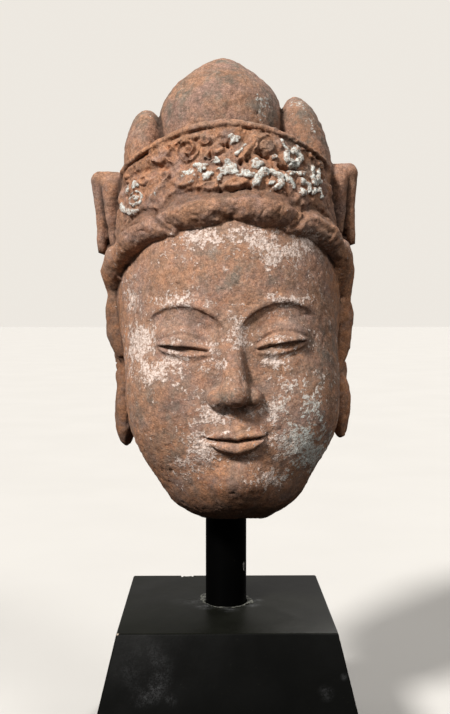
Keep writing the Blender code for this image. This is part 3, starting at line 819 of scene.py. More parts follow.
@dataclass
class HairBand:
    """Thick waved locks that frame the forehead and hang before the ears."""

    parting_depth: float = 0.0046
    back_depth: float = 0.0045
    back_waves: float = 34
    # Each lock's places by angle, height, half thickness and distance from the skull.
    locks: tuple[Lock, ...] = (
        ((1, 0.646, 0.028, 0.001), (-7.3, 0.643, 0.036, 0.001), (-15.7, 0.641, 0.04, 0.001),
         (-25, 0.638, 0.038, 0.001), (-32.4, 0.635, 0.026, 0.001)),
        ((1, 0.648, 0.029, 0.001), (9.4, 0.646, 0.037, 0.001), (18.8, 0.641, 0.041, 0.001),
         (28.2, 0.635, 0.038, 0.001), (35.5, 0.632, 0.026, 0.001)),
        ((-28.2, 0.604, 0.014, 0.001), (-35.5, 0.614, 0.028, 0.001), (-45.3, 0.617, 0.036, 0.004),
         (-57.3, 0.598, 0.036, 0.012), (-69, 0.564, 0.024, 0.015)),
        ((31.3, 0.602, 0.014, 0.001), (38.6, 0.612, 0.028, 0.001), (48.4, 0.616, 0.035, 0.004),
         (59.4, 0.597, 0.036, 0.012), (71, 0.562, 0.024, 0.015)),
        ((-62, 0.572, 0.018, 0.013), (-75, 0.56, 0.035, 0.013), (-86, 0.53, 0.036, 0.013),
         (-91, 0.498, 0.024, 0.013)),
        ((65, 0.568, 0.018, 0.013), (77, 0.557, 0.035, 0.013), (87, 0.52, 0.036, 0.013),
         (92, 0.474, 0.028, 0.013)),
        ((-90, 0.49, 0.02, 0.013), (-92, 0.45, 0.026, 0.013), (-90, 0.395, 0.027, 0.013),
         (-88, 0.362, 0.021, 0.013)),
        ((92, 0.462, 0.022, 0.014), (93, 0.42, 0.03, 0.014), (92, 0.355, 0.029, 0.014),
         (88, 0.292, 0.018, 0.014)),
    )
    grooves: tuple[Stroke, ...] = rows(
        Stroke,
        (((-4.7, 0.628), (-1.0, 0.62), (1.3, 0.622), (3.1, 0.632)), 0.0075, 0.0, -0.8),
        (((2.6, 0.624), (1.3, 0.64), (-2.6, 0.654)), 0.004, 0.0, -0.5),
        (((-38.1, 0.652), (-36.6, 0.634), (-31.9, 0.616), (-28.2, 0.602)), 0.0036, 0.0, -1.2),
        (((40.2, 0.648), (38.7, 0.63), (34.5, 0.612), (31.3, 0.6)), 0.004, 0.0, -1.2),
        (((-57.1, 0.612), (-50.0, 0.624), (-42.8, 0.624)), 0.0048, 0.0, -1.1),
        (((42.8, 0.614), (47.9, 0.606), (54.1, 0.592)), 0.005, 0.0, -0.7),
        (((-47.9, 0.64), (-57.1, 0.622), (-65.3, 0.592)), 0.0035, 0.0, -0.5),
    )

    def add_to(self, d: Values, p: Points, skull: Skull) -> Values:
        """Lay the locks over the head.

        Args:
            d: Distances to the head without its locks.
            p: Points to measure.
            skull: The skull that carries the locks.

        Returns:
            Distances to the head with its locks.
        """
        for lock in self.locks:
            course = [skull.place(angle, z, out) for angle, z, half, out in lock]
            d = blend(d, strand(p, course, [half for angle, z, half, out in lock]), 0.003)
        return d

    def parting(self, p: Points, crown: Crown, hair: Values) -> Values:
        """Grooves that part the locks over the forehead.

        Args:
            p: Points on the settled surface.
            crown: The crown over the locks.
            hair: Distances from the locks.

        Returns:
            Distances to raise each point.
        """
        along = crown.angle_of(p) * BAND_RADIUS + 0.002 * lumps(p, 0.03, 84)
        depth = np.zeros(len(p))
        for groove in self.grooves:
            depth = np.minimum(depth, groove.form(along, p[:, 2]))
        return self.parting_depth * depth * ramp(0.010, 0.003, hair)

    def back_grooves(self, p: Points, crown: Crown) -> Values:
        """Shallow grooves of hair combed down the back of the head.

        Args:
            p: Points on the settled surface.
            crown: The crown that the hair comes out under.

        Returns:
            Distances to raise each point.
        """
        angle = crown.angle_of(p)
        behind = ramp(1.85, 2.15, np.abs(angle)) * ramp(0.13, 0.19, p[:, 2])
        below = ramp(0.0, 0.02, crown.foot(angle) - p[:, 2])
        wave = angle * self.back_waves + 1.2 * lumps(p, 0.11, 5)
        return -self.back_depth * behind * below * np.cos(wave) ** 8


def triples(members: bpy.types.bpy_prop_collection, name: str) -> Points:
    """Places or directions read from the members of a mesh.

    Args:
        members: Its vertices, normals or faces.
        name: Name of what is read.

    Returns:
        One row of three for each member.
    """
    flat = np.empty(len(members) * 3, np.float32)
    members.foreach_get(name, flat)
    return flat.reshape(-1, 3).astype(float)


class Clay:
    """A mesh that is fused, smoothed and moved as one body."""

    def __init__(self, piece: Piece) -> None:
        """Take the object to work on."""
        self.piece = piece

    @property
    def mesh(self) -> bpy.types.Mesh:
        """Return the object's mesh."""
        return self.piece.data

    def points(self) -> Points:
        """Return the vertices' places."""
        return triples(self.mesh.vertices, "co")

    def normals(self) -> Points:
        """Return the vertices' outward directions."""
        return triples(self.mesh.vertex_normals, "vector")

    def put(self, points: Points) -> None:
        """Move the vertices to these places."""
        self.mesh.vertices.foreach_set("co", points.astype(np.float32).ravel())
        self.mesh.update()

    def relaxed(self, points: Points, amount: float) -> Points:
        """Points drawn towards the mean of their neighbours.

        Args:
            points: Places of the vertices.
            amount: Share of the way to go.

        Returns:
            The new places.
        """
        ends = np.empty(len(self.mesh.edges) * 2, np.int32)
        self.mesh.edges.foreach_get("vertices", ends)
        ends = ends.reshape(-1, 2)
        count = np.maximum(np.bincount(ends.ravel(), minlength=len(points)), 1)
        means = np.empty_like(points)
        for k in range(3):
            sums = np.bincount(ends[:, 0], points[ends[:, 1], k], len(points))
            sums += np.bincount(ends[:, 1], points[ends[:, 0], k], len(points))
            means[:, k] = sums / count
        return points + amount * (means - points)

    def modify(self, kind: str, **values: object) -> None:
        """Apply a modifier.

        Args:
            kind: Type of the modifier.
            values: Its settings by name.
        """
        modifier = self.piece.modifiers.new(kind.lower(), kind)
        for key, value in values.items():
            setattr(modifier, key, value)
        bpy.context.view_layer.objects.active = self.piece
        bpy.ops.object.modifier_apply(modifier=modifier.name)

    def store(self, name: str, values: Values) -> None:
        """Keep one value for each vertex under the name that a finish reads it by."""
        layer = self.mesh.attributes.new(name, "FLOAT", "POINT")
        layer.data.foreach_set("value", values.astype(np.float32))

    def hollowness(self, rounds: int) -> Values:
        """How deep each vertex lies below its smoothed surroundings.

        Args:
            rounds: How far the surroundings reach.

        Returns:
            Distances, above zero in hollows and below zero on ridges.
        """
        points = start = self.points()
        for _ in range(rounds):
            points = self.relaxed(points, 0.8)
        return np.einsum("ij,ij->i", points - start, self.normals())


def pick(*pieces: Piece) -> None:
    """Select some objects alone.

    Args:
        pieces: The objects, of which the first becomes the active one.
    """
    bpy.ops.object.select_all(action="DESELECT")
    for piece in pieces:
        piece.select_set(True)
    bpy.context.view_layer.objects.active = pieces[0]


def settle_object(piece: Piece, name: str) -> Piece:
    """Give a finished object its name, with its place in its mesh.

    Args:
        piece: The object.
        name: Its name.

    Returns:
        The same object.
    """
    pick(piece)
    bpy.ops.object.transform_apply(location=True, rotation=True, scale=True)
    piece.name = name
    piece.data.name = name
    return piece


def joined(pieces: Sequence[Piece], name: str) -> Piece:
    """Join objects into the first of them.

    Args:
        pieces: The objects.
        name: Name of what they become.

    Returns:
        The joined object.
    """
    pick(*pieces)
    bpy.ops.object.join()
    return settle_object(bpy.context.object, name)


def hand_over(piece: Piece, node: Optional[str]) -> None:
    """Let a piece ride on the object, in place of a solid where it stands for one.

    Args:
        piece: The piece.
        node: The solid that it stands for, if any.
    """
    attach(piece, "root")
    if node:
        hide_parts(node)
    LOG.info("%s: %d faces", piece.name, len(piece.data.polygons))


class Nodes:
    """A node tree that is filled from its inputs to its output."""

    def __init__(self, tree: bpy.types.NodeTree) -> None:
        """Take the tree to fill."""
        self.tree = tree

    def join(self, value: object, socket: Socket) -> None:
        """Link an output to a socket, or set the socket's own value.

        Args:
            value: An output, a number, a place or a colour.
            socket: The socket that takes it.
        """
        if isinstance(value, Socket):
            self.tree.links.new(value, socket)
        else:
            colour = isinstance(value, tuple) and socket.type == "RGBA"
            socket.default_value = (*value, 1.0) if colour else value

    def add(self, kind: str, output: object, inputs: dict[object, object], **settings: object) -> Socket:
        """Add a node.

        Args:
            kind: Its type, without the prefix.
            output: Name or number of the output that is wanted.
            inputs: Values or outputs for its sockets.
            settings: Its options by name.

        Returns:
            The output.
        """
        node = self.tree.nodes.new("ShaderNode" + kind)
        for key, value in settings.items():
            setattr(node, key, value)
        for key, value in inputs.items():
            self.join(value, node.inputs[key])
        return node.outputs[output]

    def math(self, operation: str, a: object, b: object) -> Socket:
        """Return two values combined."""
        return self.add("Math", 0, {0: a, 1: b}, operation=operation)

    def between(self, value: object, low: float, high: float, start: float = 0.0, end: float = 1.0) -> Socket:
        """Return a value mapped smoothly from low and high to start and end."""
        inputs = {"Value": value, "From Min": low, "From Max": high, "To Min": start, "To Max": end}
        return self.add("MapRange", "Result", inputs, interpolation_type="SMOOTHSTEP")

    def mix(self, share: object, a: object, b: object, mode: str = "MIX") -> Socket:
        """Return two colours combined, with a share of the second."""
        return self.add("Mix", 2, {0: share, 6: a, 7: b}, data_type="RGBA", blend_type=mode)

    def grey(self, value: object) -> Socket:
        """Return a grey of this brightness."""
        return self.add("CombineColor", "Color", dict.fromkeys(range(3), value))


class Shader(Nodes):
    """A material's nodes, from the object's own coordinates to the surface."""

    def __init__(self, name: str, specular: float = 0.5) -> None:
        """Start a material.

        Args:
            name: Its name.
            specular: How strongly its surface shines.
        """
        self.material = bpy.data.materials.new(name)
        self.material.use_nodes = True
        super().__init__(self.material.node_tree)
        self.surface = self.tree.nodes["Principled BSDF"]
        self.surface.inputs["Specular IOR Level"].default_value = specular
        self.place = self.add("TexCoord", "Object", {})

    def noise(self, scale: float, detail: float = 3.0, roughness: float = 0.55) -> Socket:
        """Return noise, by its lumps in a metre, its finer sizes and their strength."""
        inputs = {"Vector": self.place, "Scale": scale, "Detail": detail, "Roughness": roughness}
        return self.add("TexNoise", "Fac", inputs)

    def spots(self, scale: float, detail: float, roughness: float, *ends: float) -> Socket:
        """Return noise that is mapped smoothly between the ends."""
        return self.between(self.noise(scale, detail, roughness), *ends)

    def stored(self, name: str) -> Socket:
        """Return a value that was stored on the vertices."""
        return self.add("Attribute", "Fac", {}, attribute_name=name)

    def near(self, place: Triple, radius: float) -> Socket:
        """Return 1 at a place on the piece, fading to 0 at a distance from it."""
        reach = self.add("VectorMath", "Value", {0: self.place, 1: place}, operation="DISTANCE")
        return self.between(reach, radius, 0.0)

    def bump(
        self, height: Socket, strength: float, distance: float, under: Optional[Socket] = None
    ) -> Socket:
        """Bend the surface's light by a height.

        Args:
            height: Height output.
            strength: How strongly it shows.
            distance: Height in metres at full value.
            under: Another bump to add this one to.

        Returns:
            The bent normal.
        """
        inputs = {"Strength": strength, "Distance": distance, "Height": height}
        if under is not None:
            inputs["Normal"] = under
        return self.add("Bump", "Normal", inputs)

    def finish(self, colour: Socket, roughness: object, normal: Socket) -> bpy.types.Material:
        """Join colour, roughness and normal to the surface.

        Args:
            colour: Colour output.
            roughness: Roughness output or number.
            normal: Normal output.

        Returns:
            The material.
        """
        for name, value in (("Base Color", colour), ("Roughness", roughness), ("Normal", normal)):
            self.join(value, self.surface.inputs[name])
        return self.material


@dataclass(frozen=True)
class Sandstone:
    """Reddish brown sandstone with remains of a white ground."""

    mauve: Triple = (0.250, 0.160, 0.128)
    body: Triple = (0.282, 0.160, 0.103)
    ochre: Triple = (0.360, 0.172, 0.088)
    rust: Triple = (0.290, 0.100, 0.044)
    grey: Triple = (0.165, 0.132, 0.104)
    # Dark tone of the dirty specks, and of the painted shade.
    dirt_and_shade: Triple = (0.040, 0.022, 0.016)
    pale: Triple = (0.500, 0.370, 0.290)
    white: Triple = (0.760, 0.635, 0.570)
    cool_white: Triple = (0.660, 0.690, 0.655)
    specular: float = 0.22
    roughness: float = 0.93
    veil: float = 0.16
    bare_below: float = 1.87
    white_above: float = 2.06
    cover: float = 0.94

    def make(self) -> bpy.types.Material:
        """Build the material.

        Returns:
            The sandstone material.
        """
        s = Shader("sandstone", self.specular)
        ground = self._ground(s)
        white = s.mix(s.stored("cool"), self.white, self.cool_white)
        white = s.mix(s.spots(420, 4, 0.75, 0.42, 0.62, 0, 0.80), white, self.body)
        colour = s.mix(s.math("MULTIPLY", s.stored("ground"), self.veil), self._stone(s), white)
        colour = s.mix(ground, colour, white)
        normal = s.bump(s.noise(210, 4, 0.65), 0.70, 0.0015)
        normal = s.bump(s.noise(700, 3, 0.7), 0.70, 0.0007, normal)
        flaky = s.math("MULTIPLY", ground, s.spots(480, 3, 0.7, 0.3, 0.7, 0.2, 1.0))
        return s.finish(colour, self.roughness, s.bump(flaky, 0.8, 0.0009, normal))

    def _stone(self, s: Shader) -> Socket:
        """Colour of the bare stone.

        Args:
            s: The shader to build in.

        Returns:
            The colour, with its blotches, grains and dirty specks, grey soiling mixed with painted shade and
            painted light, and over all painted shade, partly real dirtiness.
        """
        colour = self.mauve
        for name, spots, tone in (
            (None, (24, 5, 0.65, 0.40, 0.60), self.body),
            ("ochre", (60, 4, 0.65, 0.36, 0.60), self.ochre),
            ("ochre", (150, 3, 0.7, 0.52, 0.66, 0, 0.5), self.rust),
            # Grey soiling, which also carries painted shade and painted light.
            ("grime_and_shading", (70, 5, 0.65, 0.42, 0.66), self.grey),
            (None, (260, 3, 0.7, 0.50, 0.72, 0, 0.40), self.mauve),
        ):
            share = s.spots(*spots)
            colour = s.mix(s.math("MULTIPLY", s.stored(name), share) if name else share, colour, tone)
        for scale, *tints in ((110, 0.84, 1.18), (330, 0.80, 1.22), (800, 0.72, 1.30)):
            tint = s.grey(s.spots(scale, 3, 0.65, 0.32, 0.68, *tints))
            colour = s.mix(1.0, colour, tint, "MULTIPLY")
        colour = s.mix(s.spots(520, 2, 0.8, 0.64, 0.76, 0, 0.45), colour, self.pale)
        colour = s.mix(s.spots(430, 2, 0.8, 0.35, 0.25, 0, 0.60), colour, self.dirt_and_shade)
        # Painted shade, partly real dirtiness, from the stored values: hollows, the crown's ground, seams,
        # partings, holes, under the chin, the darkened -X ear and the shade patches.
        return s.mix(s.stored("shade_and_soiling"), colour, self.dirt_and_shade)

    def _ground(self, s: Shader) -> Socket:
        """Where white ground still covers the stone.

        Args:
            s: The shader to build in.

        Returns:
            0 on bare stone and 1 on the white, with a broken edge.
        """
        broken = s.stored("ground")
        for scale, weight in ((42, 0.45), (115, 1.00), (270, 1.10), (600, 0.55)):
            broken = s.math("ADD", broken, s.math("MULTIPLY", s.noise(scale, 3, 0.65), weight))
        return s.between(broken, self.bare_below, self.white_above, 0, self.cover)


@dataclass(frozen=True)
class Smudge:
    """A dusty mark on paint, by its place, its size and its strength."""

    place: Triple
    radius: float
    strength: float


@dataclass(frozen=True)
class BlackPaint:
    """Black paint, satin and a little dusty."""

    name: str
    colour: Triple = (0.0015, 0.0016, 0.0014)
    dust: Triple = (0.058, 0.061, 0.042)
    smear: Triple = (0.115, 0.118, 0.122)
    dust_share: float = 0.006
    top_dust: float = 0.09
    roughness: float = 0.30
    gloss: float = 0.12
    brush: float = 0.25
    smudges: tuple[Smudge, ...] = ()

    def make(self) -> bpy.types.Material:
        """Build the material.

        Returns:
            The paint's material.
        """
        s = Shader(self.name, self.gloss)
        up = s.add("SeparateXYZ", "Z", {0: s.add("NewGeometry", "Normal", {})})
        settled = s.spots(18, 6, 0.7, 0.25, 0.70, 0.55, 1.15)
        settled = s.math("MULTIPLY", s.between(up, 0.5, 0.98, 0, self.top_dust), settled)
        dusty = s.math("MAXIMUM", s.spots(26, 5, 0.65, 0.46, 0.80, 0, self.dust_share), settled)
        colour = s.mix(dusty, self.colour, self.dust)
        smeared = 0.0
        for smudge in self.smudges:
            mark = s.math("MULTIPLY", s.near(smudge.place, smudge.radius), smudge.strength)
            smeared = s.math("ADD", smeared, mark)
        if self.smudges:
            broken = s.math("MULTIPLY", s.spots(800, 3, 0.7, 0.34, 0.68), s.spots(90, 4, 0.7, 0.34, 0.66))
            colour = s.mix(s.math("MULTIPLY", smeared, broken), colour, self.smear)
        colour = s.mix(s.spots(900, 1, 0.5, 0.77, 0.82, 0, 0.35), colour, self.dust)
        low, high = self.roughness - 0.02, self.roughness + 0.05
        roughness = s.math("ADD", s.spots(34, 4, 0.55, 0.3, 0.7, low, high), s.math("MULTIPLY", dusty, 0.4))
        return s.finish(colour, roughness, s.bump(s.noise(420, 3, 0.6), self.brush, 0.00018))


@dataclass(frozen=True)
class Crumbly:
    """Pale crumbly matter: filler at the post's foot, or what a nick in the paint lays bare."""

    name: str
    pale: Triple
    dark: Triple

    def make(self) -> bpy.types.Material:
        """Build the material.

        Returns:
            The mottled material.
        """
        s = Shader(self.name)
        colour = s.mix(s.spots(260, 4, 0.7, 0.42, 0.62), self.dark, self.pale)
        return s.finish(colour, 0.85, s.bump(s.noise(700, 3), 0.5, 0.0004))


STEEL_PAINT = BlackPaint("black steel", (0.0005, 0.0005, 0.0005), roughness=0.45, gloss=0.04)
BARE_WOOD = Crumbly("bare wood", (0.42, 0.36, 0.29), (0.16, 0.12, 0.09))
BARE_STEEL = Crumbly("bare steel", (0.36, 0.35, 0.33), (0.20, 0.19, 0.18))
FILLER = Crumbly("filler", (0.105, 0.108, 0.090), (0.012, 0.012, 0.010))


@dataclass(frozen=True)
class Nick:
    """A small loss in an edge, by its centre and its half sizes."""

    centre: Triple
    half: Triple


@dataclass
class Mount:
    """Black post in a black tapered block, with a bead of filler at the post's foot."""

    foot_width: float = 0.256
    top_width: float = 0.188
    block_edge: float = 0.0015
    post_radius: float = 0.019
    post_edge: float = 0.001
    post_sides: int = 96
    room: float = 0.0003
    bead_reach: float = 0.0056
    bead_height: float = 0.0011
    block_nicks: tuple[Nick, ...] = rows(
        Nick,
        ((-0.0937, -0.0942, 0.1429), (0.0016, 0.0018, 0.0014)),
        ((-0.044, 0.0945, 0.1436), (0.0017, 0.0085, 0.0026)),
        ((-0.0388, 0.0948, 0.1438), (0.006, 0.0056, 0.003)),
        ((-0.0334, 0.095, 0.1434), (0.0016, 0.0068, 0.0022)),
        ((0.0945, -0.0935, 0.137), (0.0012, 0.0014, 0.004)),
    )
    post_nicks: tuple[Nick, ...] = rows(
        Nick,
        ((0.0167, -0.0098, 0.179), (0.0015, 0.0015, 0.0046)),
    )
    smudges: tuple[Smudge, ...] = rows(
        Smudge,
        ((-0.07, -0.0965, 0.1325), 0.014, 0.09), ((-0.06, -0.0976, 0.127), 0.013, 0.12),
        ((-0.0545, -0.1, 0.118), 0.012, 0.15), ((-0.056, -0.103, 0.106), 0.013, 0.22),
        ((-0.0633, -0.1051, 0.0964), 0.013, 0.32), ((-0.072, -0.106, 0.093), 0.012, 0.18),
        ((-0.08, -0.101, 0.113), 0.024, 0.1), ((-0.0482, -0.1064, 0.0909), 0.008, 0.22),
        ((0.0824, -0.1052, 0.0958), 0.009, 0.3), ((0.0978, -0.1023, 0.1082), 0.004, 0.5),
        ((-0.026, 0.004, 0.143), 0.016, 0.6), ((-0.019, -0.015, 0.143), 0.014, 0.9),
        ((0.024, -0.011, 0.143), 0.013, 0.7), ((0.028, 0.005, 0.143), 0.012, 0.55),
        ((0.002, -0.025, 0.143), 0.012, 0.9), ((-0.04, -0.002, 0.143), 0.018, 0.25),
    )

    def __post_init__(self) -> None:
        """Read where the solids of post and block end."""
        self.post_low, self.post_high = (corner.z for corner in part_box("rod"))
        self.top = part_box("base")[1].z

    def build(self) -> None:
        """Make block, post and bead in the places of the solids."""
        self._block()
        self._post()
        self._bead()

    def _block(self) -> None:
        """Make the block with its room for the post."""
        low, high = self.foot_width / sqrt(2), self.top_width / sqrt(2)
        bpy.ops.mesh.primitive_cone_add(
            vertices=4, radius1=low, radius2=high, depth=self.top, location=(0, 0, self.top / 2),
            rotation=(0, 0, radians(45)),
        )
        block = Clay(settle_object(bpy.context.object, "wood_block"))
        block.modify("BEVEL", width=self.block_edge, segments=3, limit_method="ANGLE")
        block.mesh.materials.append(BlackPaint("black wood", smudges=self.smudges).make())
        reach = self.post_radius + self.room
        self._cut(block, self._cylinder("room", reach, self.post_low - self.room, self.top + self.room))
        self._cut(block, self._losses(self.block_nicks, BARE_WOOD))
        self._finish(block, "base", "black_wood")

    def _post(self) -> None:
        """Make the post."""
        post = Clay(self._cylinder("steel_post", self.post_radius, self.post_low, self.post_high))
        post.modify("BEVEL", width=self.post_edge, segments=2, limit_method="ANGLE", angle_limit=radians(60))
        post.mesh.materials.append(STEEL_PAINT.make())
        self._cut(post, self._losses(self.post_nicks, BARE_STEEL))
        self._finish(post, "rod", "black_steel")

    def _bead(self) -> None:
        """Make the uneven bead of filler round the post's foot."""
        half = self.bead_reach / 2
        bpy.ops.mesh.primitive_torus_add(
            major_segments=120, minor_segments=12, major_radius=self.post_radius + half, minor_radius=half,
            location=(0, 0, self.top),
        )
        bead = Clay(settle_object(bpy.context.object, "foot_bead"))
        p = bead.points()
        ring = np.hypot(p[:, 0], p[:, 1])
        out = ring - self.post_radius
        swell = 1 + 1.6 * rough(p * (1, 1, 0), 0.014, 7, 3)
        wide = (self.post_radius + self.room + np.clip(out, 0, None) * swell) / ring
        rise = np.clip((p[:, 2] - self.top) * 2 / self.bead_reach, 0, 1)
        high = self.top + rise * self.bead_height * np.clip(swell, 0.3, 2)
        bead.put(np.column_stack((p[:, 0] * wide, p[:, 1] * wide, high)))
        bead.mesh.shade_smooth()
        bead.mesh.materials.append(FILLER.make())
        hand_over(bead.piece, None)

    def _cylinder(self, name: str, radius: float, low: float, high: float) -> Piece:
        """Upright cylinder on the post's axis.

        Args:
            name: Its name.
            radius: Its radius.
            low: Height of its lower end.
            high: Height of its upper end.

        Returns:
            The cylinder.
        """
        bpy.ops.mesh.primitive_cylinder_add(
            vertices=self.post_sides, radius=radius, depth=high - low, location=(0, 0, (low + high) / 2)
        )
        return settle_object(bpy.context.object, name)

    @staticmethod
    def _losses(nicks: tuple[Nick, ...], bare: Crumbly) -> Piece:
        """Rough balls joined as one cutter.

        Args:
            nicks: The losses to cut.
            bare: Finish that the losses lay bare.

        Returns:
            The cutter, with the bare finish on it.
        """
        balls = []
        for nick in nicks:
            bpy.ops.mesh.primitive_ico_sphere_add(subdivisions=2, radius=1, location=nick.centre)
            bpy.context.object.scale = nick.half
            balls.append(bpy.context.object)
        cutter = Clay(joined(balls[::-1], "losses"))
        p = cutter.points()
        cutter.put(p + cutter.normals() * 0.0005 * lumps(p, 0.0012, 3)[:, None])
        cutter.mesh.materials.append(bare.make())
        return cutter.piece

    @staticmethod
    def _cut(clay: Clay, cutter: Piece) -> None:
        """Take a cutter out of a piece and throw the cutter away.

        Args:
            clay: The piece to cut.
            cutter: What is taken out of it.
        """
        clay.modify(
            "BOOLEAN", object=cutter, operation="DIFFERENCE", solver="EXACT", use_self=True,
            material_mode="TRANSFER",
        )
        bpy.data.objects.remove(cutter)

    @staticmethod
    def _finish(clay: Clay, node: str, slot: str) -> None:
        """Shade a hard piece and hand it over.

        Args:
            clay: The piece.
            node: The solid that it stands for.
            slot: Not used.
        """
        pick(clay.piece)
        bpy.ops.object.shade_smooth_by_angle(angle=radians(30))
        hand_over(clay.piece, node)


@dataclass
class StoneHead:
    """The carved head: its forms, its wear and its remains of white ground."""

    height: float = 0.42
    lean_deg: float = 2.0
    lean_centre: float = 0.65
    above_block: float = 0.0886
    seam_depth: float = 0.0090
    longest_step: float = 0.012
    # Voxel size, rounds of settling, how strongly the vertices are spread, and whether by slope.
    stages: tuple[tuple[float, int, float, bool], ...] = (
        (0.012, 12, 0.3, True),
        (0.008, 6, 0.3, True),
        (0.005, 4, 0.5, False),
    )
    # Rounds and spreading after each division of the front's faces, by the mesh's normals.
    resettling: tuple[int, float, bool] = (2, 0.3, False)
    most_triangles: int = 196000
    wear_swell: float = 0.0034
    wear_bumps: float = 0.0022
    crown_grain: float = 0.0013
    break_depth: float = 0.005
    # Strengths of painted shade on the crown's ground between the motifs, in the seam over the hair band, in
    # the partings and once more on the crown's relief.
    ground_shade: float = 0.65
    seam_shade: float = 1.5
    parting_shade: float = 1.3
    relief_shade: float = 0.45
    # Darkening of the ear on the -X side.
    ear_darkening: float = 0.60
    # Painted shade under the chin, darker towards the bottom.
    neck_shade: float = 0.75
    shade_depth: float = 0.40
    white_on_face: float = 0.53
    white_on_crown: float = 0.66
    patches: tuple[Patch, ...] = rows(
        Patch,
        (-0.046, 0.588, 0.044, 0.022, 1.0), (0.014, 0.597, 0.036, 0.016, 0.9),
        (0.064, 0.574, 0.046, 0.028, 0.84), (0.088, 0.545, 0.022, 0.028, 0.86, -35),
        (0.128, 0.552, 0.03, 0.022, 0.7), (0.16, 0.57, 0.034, 0.032, 0.72),
        (-0.11, 0.462, 0.056, 0.018, 0.62), (0.118, 0.458, 0.056, 0.018, 0.72),
        (0.012, 0.395, 0.022, 0.042, 0.75), (-0.03, 0.348, 0.024, 0.028, 0.5),
        (-0.204, 0.47, 0.014, 0.044, 0.7), (-0.184, 0.376, 0.034, 0.046, 0.95),
        (-0.12, 0.345, 0.034, 0.026, 0.7), (-0.158, 0.322, 0.046, 0.026, 0.9),
        (-0.108, 0.378, 0.05, 0.012, 0.45), (0.108, 0.378, 0.044, 0.012, 0.5),
        (0.08, 0.34, 0.036, 0.018, 0.85), (0.112, 0.29, 0.04, 0.03, 0.5), (-0.04, 0.238, 0.036, 0.026, 1.0),
        (0.028, 0.24, 0.024, 0.018, 0.8), (0.082, 0.236, 0.04, 0.026, 0.7), (0.158, 0.24, 0.026, 0.04, 0.52),
        (0.122, 0.172, 0.05, 0.04, 1.0), (0.152, 0.134, 0.042, 0.046, 1.0), (-0.066, 0.17, 0.04, 0.034, 0.9),
        (0.012, 0.146, 0.036, 0.014, 0.65), (-0.1, 0.116, 0.04, 0.036, 0.6), (0.07, 0.096, 0.06, 0.024, 0.8),
        (0.086, 0.868, 0.026, 0.03, 0.9), (0.168, 0.885, 0.022, 0.02, 0.82), (0.19, 0.835, 0.014, 0.03, 0.76),
    )
    # Staining of the stone; the rows on the two cheeks, on and beside the nose and on the +X side of the
    # crown also hold painted shade, and the two rows of negative strength are painted light on the -X side of
    # the band and the crown.
    stains_and_shading: tuple[Patch, ...] = rows(
        Patch,
        (-0.018, 0.524, 0.045, 0.06, 0.8), (0.06, 0.5, 0.05, 0.03, 0.5), (0.0, 0.262, 0.034, 0.02, 0.9),
        (0.026, 0.96, 0.045, 0.04, 0.9), (-0.08, 0.89, 0.04, 0.03, 0.5), (-0.12, 0.17, 0.04, 0.05, 0.45),
        (0.195, 0.33, 0.05, 0.08, 0.8), (-0.15, 0.25, 0.07, 0.045, 0.7), (0.03, 0.34, 0.04, 0.06, 0.45),
        (0.19, 0.8, 0.05, 0.09, 0.8), (0.12, 0.85, 0.04, 0.06, 0.5), (-0.19, 0.59, 0.07, 0.05, -0.35),
        (-0.15, 0.735, 0.085, 0.05, -0.4),
    )
    # Painted shade on the cheeks, beside the nose, under the chin, on the +X side of the crown and on the
    # knot.
    shades: tuple[Patch, ...] = rows(
        Patch,
        (0.195, 0.32, 0.065, 0.1, 1.2), (-0.15, 0.26, 0.075, 0.045, 0.9), (0.02, 0.35, 0.05, 0.06, 0.6),
        (0.0, 0.055, 0.11, 0.04, 1.15), (0.19, 0.82, 0.05, 0.1, 1.2), (0.115, 0.86, 0.04, 0.07, 0.5),
        (0.022, 0.945, 0.03, 0.026, 0.7),
    )

    def __post_init__(self) -> None:
        """Make the head's parts."""
        self.skull = Skull()
        self.ear = Ear()
        self.ribbon = RibbonEnd()
        self.crown = Crown()
        self.knot = HairKnot()
        self.band = HairBand()

    def mass(self, p: Points) -> Values:
        """Distance from the head's surface.

        Args:
            p: Points to measure.

        Returns:
            Distances, below zero inside the stone.
        """
        side = mirrored(p)
        d = self.skull.mass(p, side)
        d = blend(d, egg(p, (0, 0.055, 0.10), (0.140, 0.160, 0.22)), 0.04)
        d = blend(d, egg(p, (0, 0.045, 0.485), (0.252, 0.232, 0.33)), 0.02)
        d = blend(d, self.ear.mass(side), 0.010)
        d = self.band.add_to(d, p, self.skull)
        d = blend(d, self.crown.mass(p), 0.004)
        d = blend(d, self.knot.mass(p), 0.010)
        d = blend(d, self.ribbon.mass(side), 0.006)
        return trim(d, -p[:, 2], 0.008)

    def rough_block(self) -> Clay:
        """Balls and a cone joined as the block that the carving starts from.

        Returns:
            The block.
        """
        balls = [
            ((0, 0.00, 0.44), (0.25, 0.265, 0.36)),
            ((0, -0.05, 0.19), (0.19, 0.18, 0.19)),
            ((0, 0.03, 0.10), (0.15, 0.15, 0.12)),
            ((0, 0.03, 0.85), (0.135, 0.13, 0.15)),
            ((0, -0.27, 0.28), (0.03, 0.03, 0.04)),
        ]
        for way in (-1, 1):
            balls.append(((0.18 * way, 0.035, 0.79), (0.05, 0.08, 0.11)))
            balls.append(((0.26 * way, 0.03, 0.66), (0.04, 0.03, 0.09)))
            balls.append(((0.24 * way, 0.04, 0.26), (0.03, 0.05, 0.12)))
        pieces = []
        for centre, radii in balls:
            bpy.ops.mesh.primitive_uv_sphere_add(segments=32, ring_count=16, location=centre)
            bpy.context.object.scale = radii
            pieces.append(bpy.context.object)
        bpy.ops.mesh.primitive_cone_add(
            vertices=48, radius1=0.25, radius2=0.215, depth=0.2, location=(0, 0.02, 0.66)
        )
        pieces.append(bpy.context.object)
        return Clay(joined(pieces, "carved_head"))

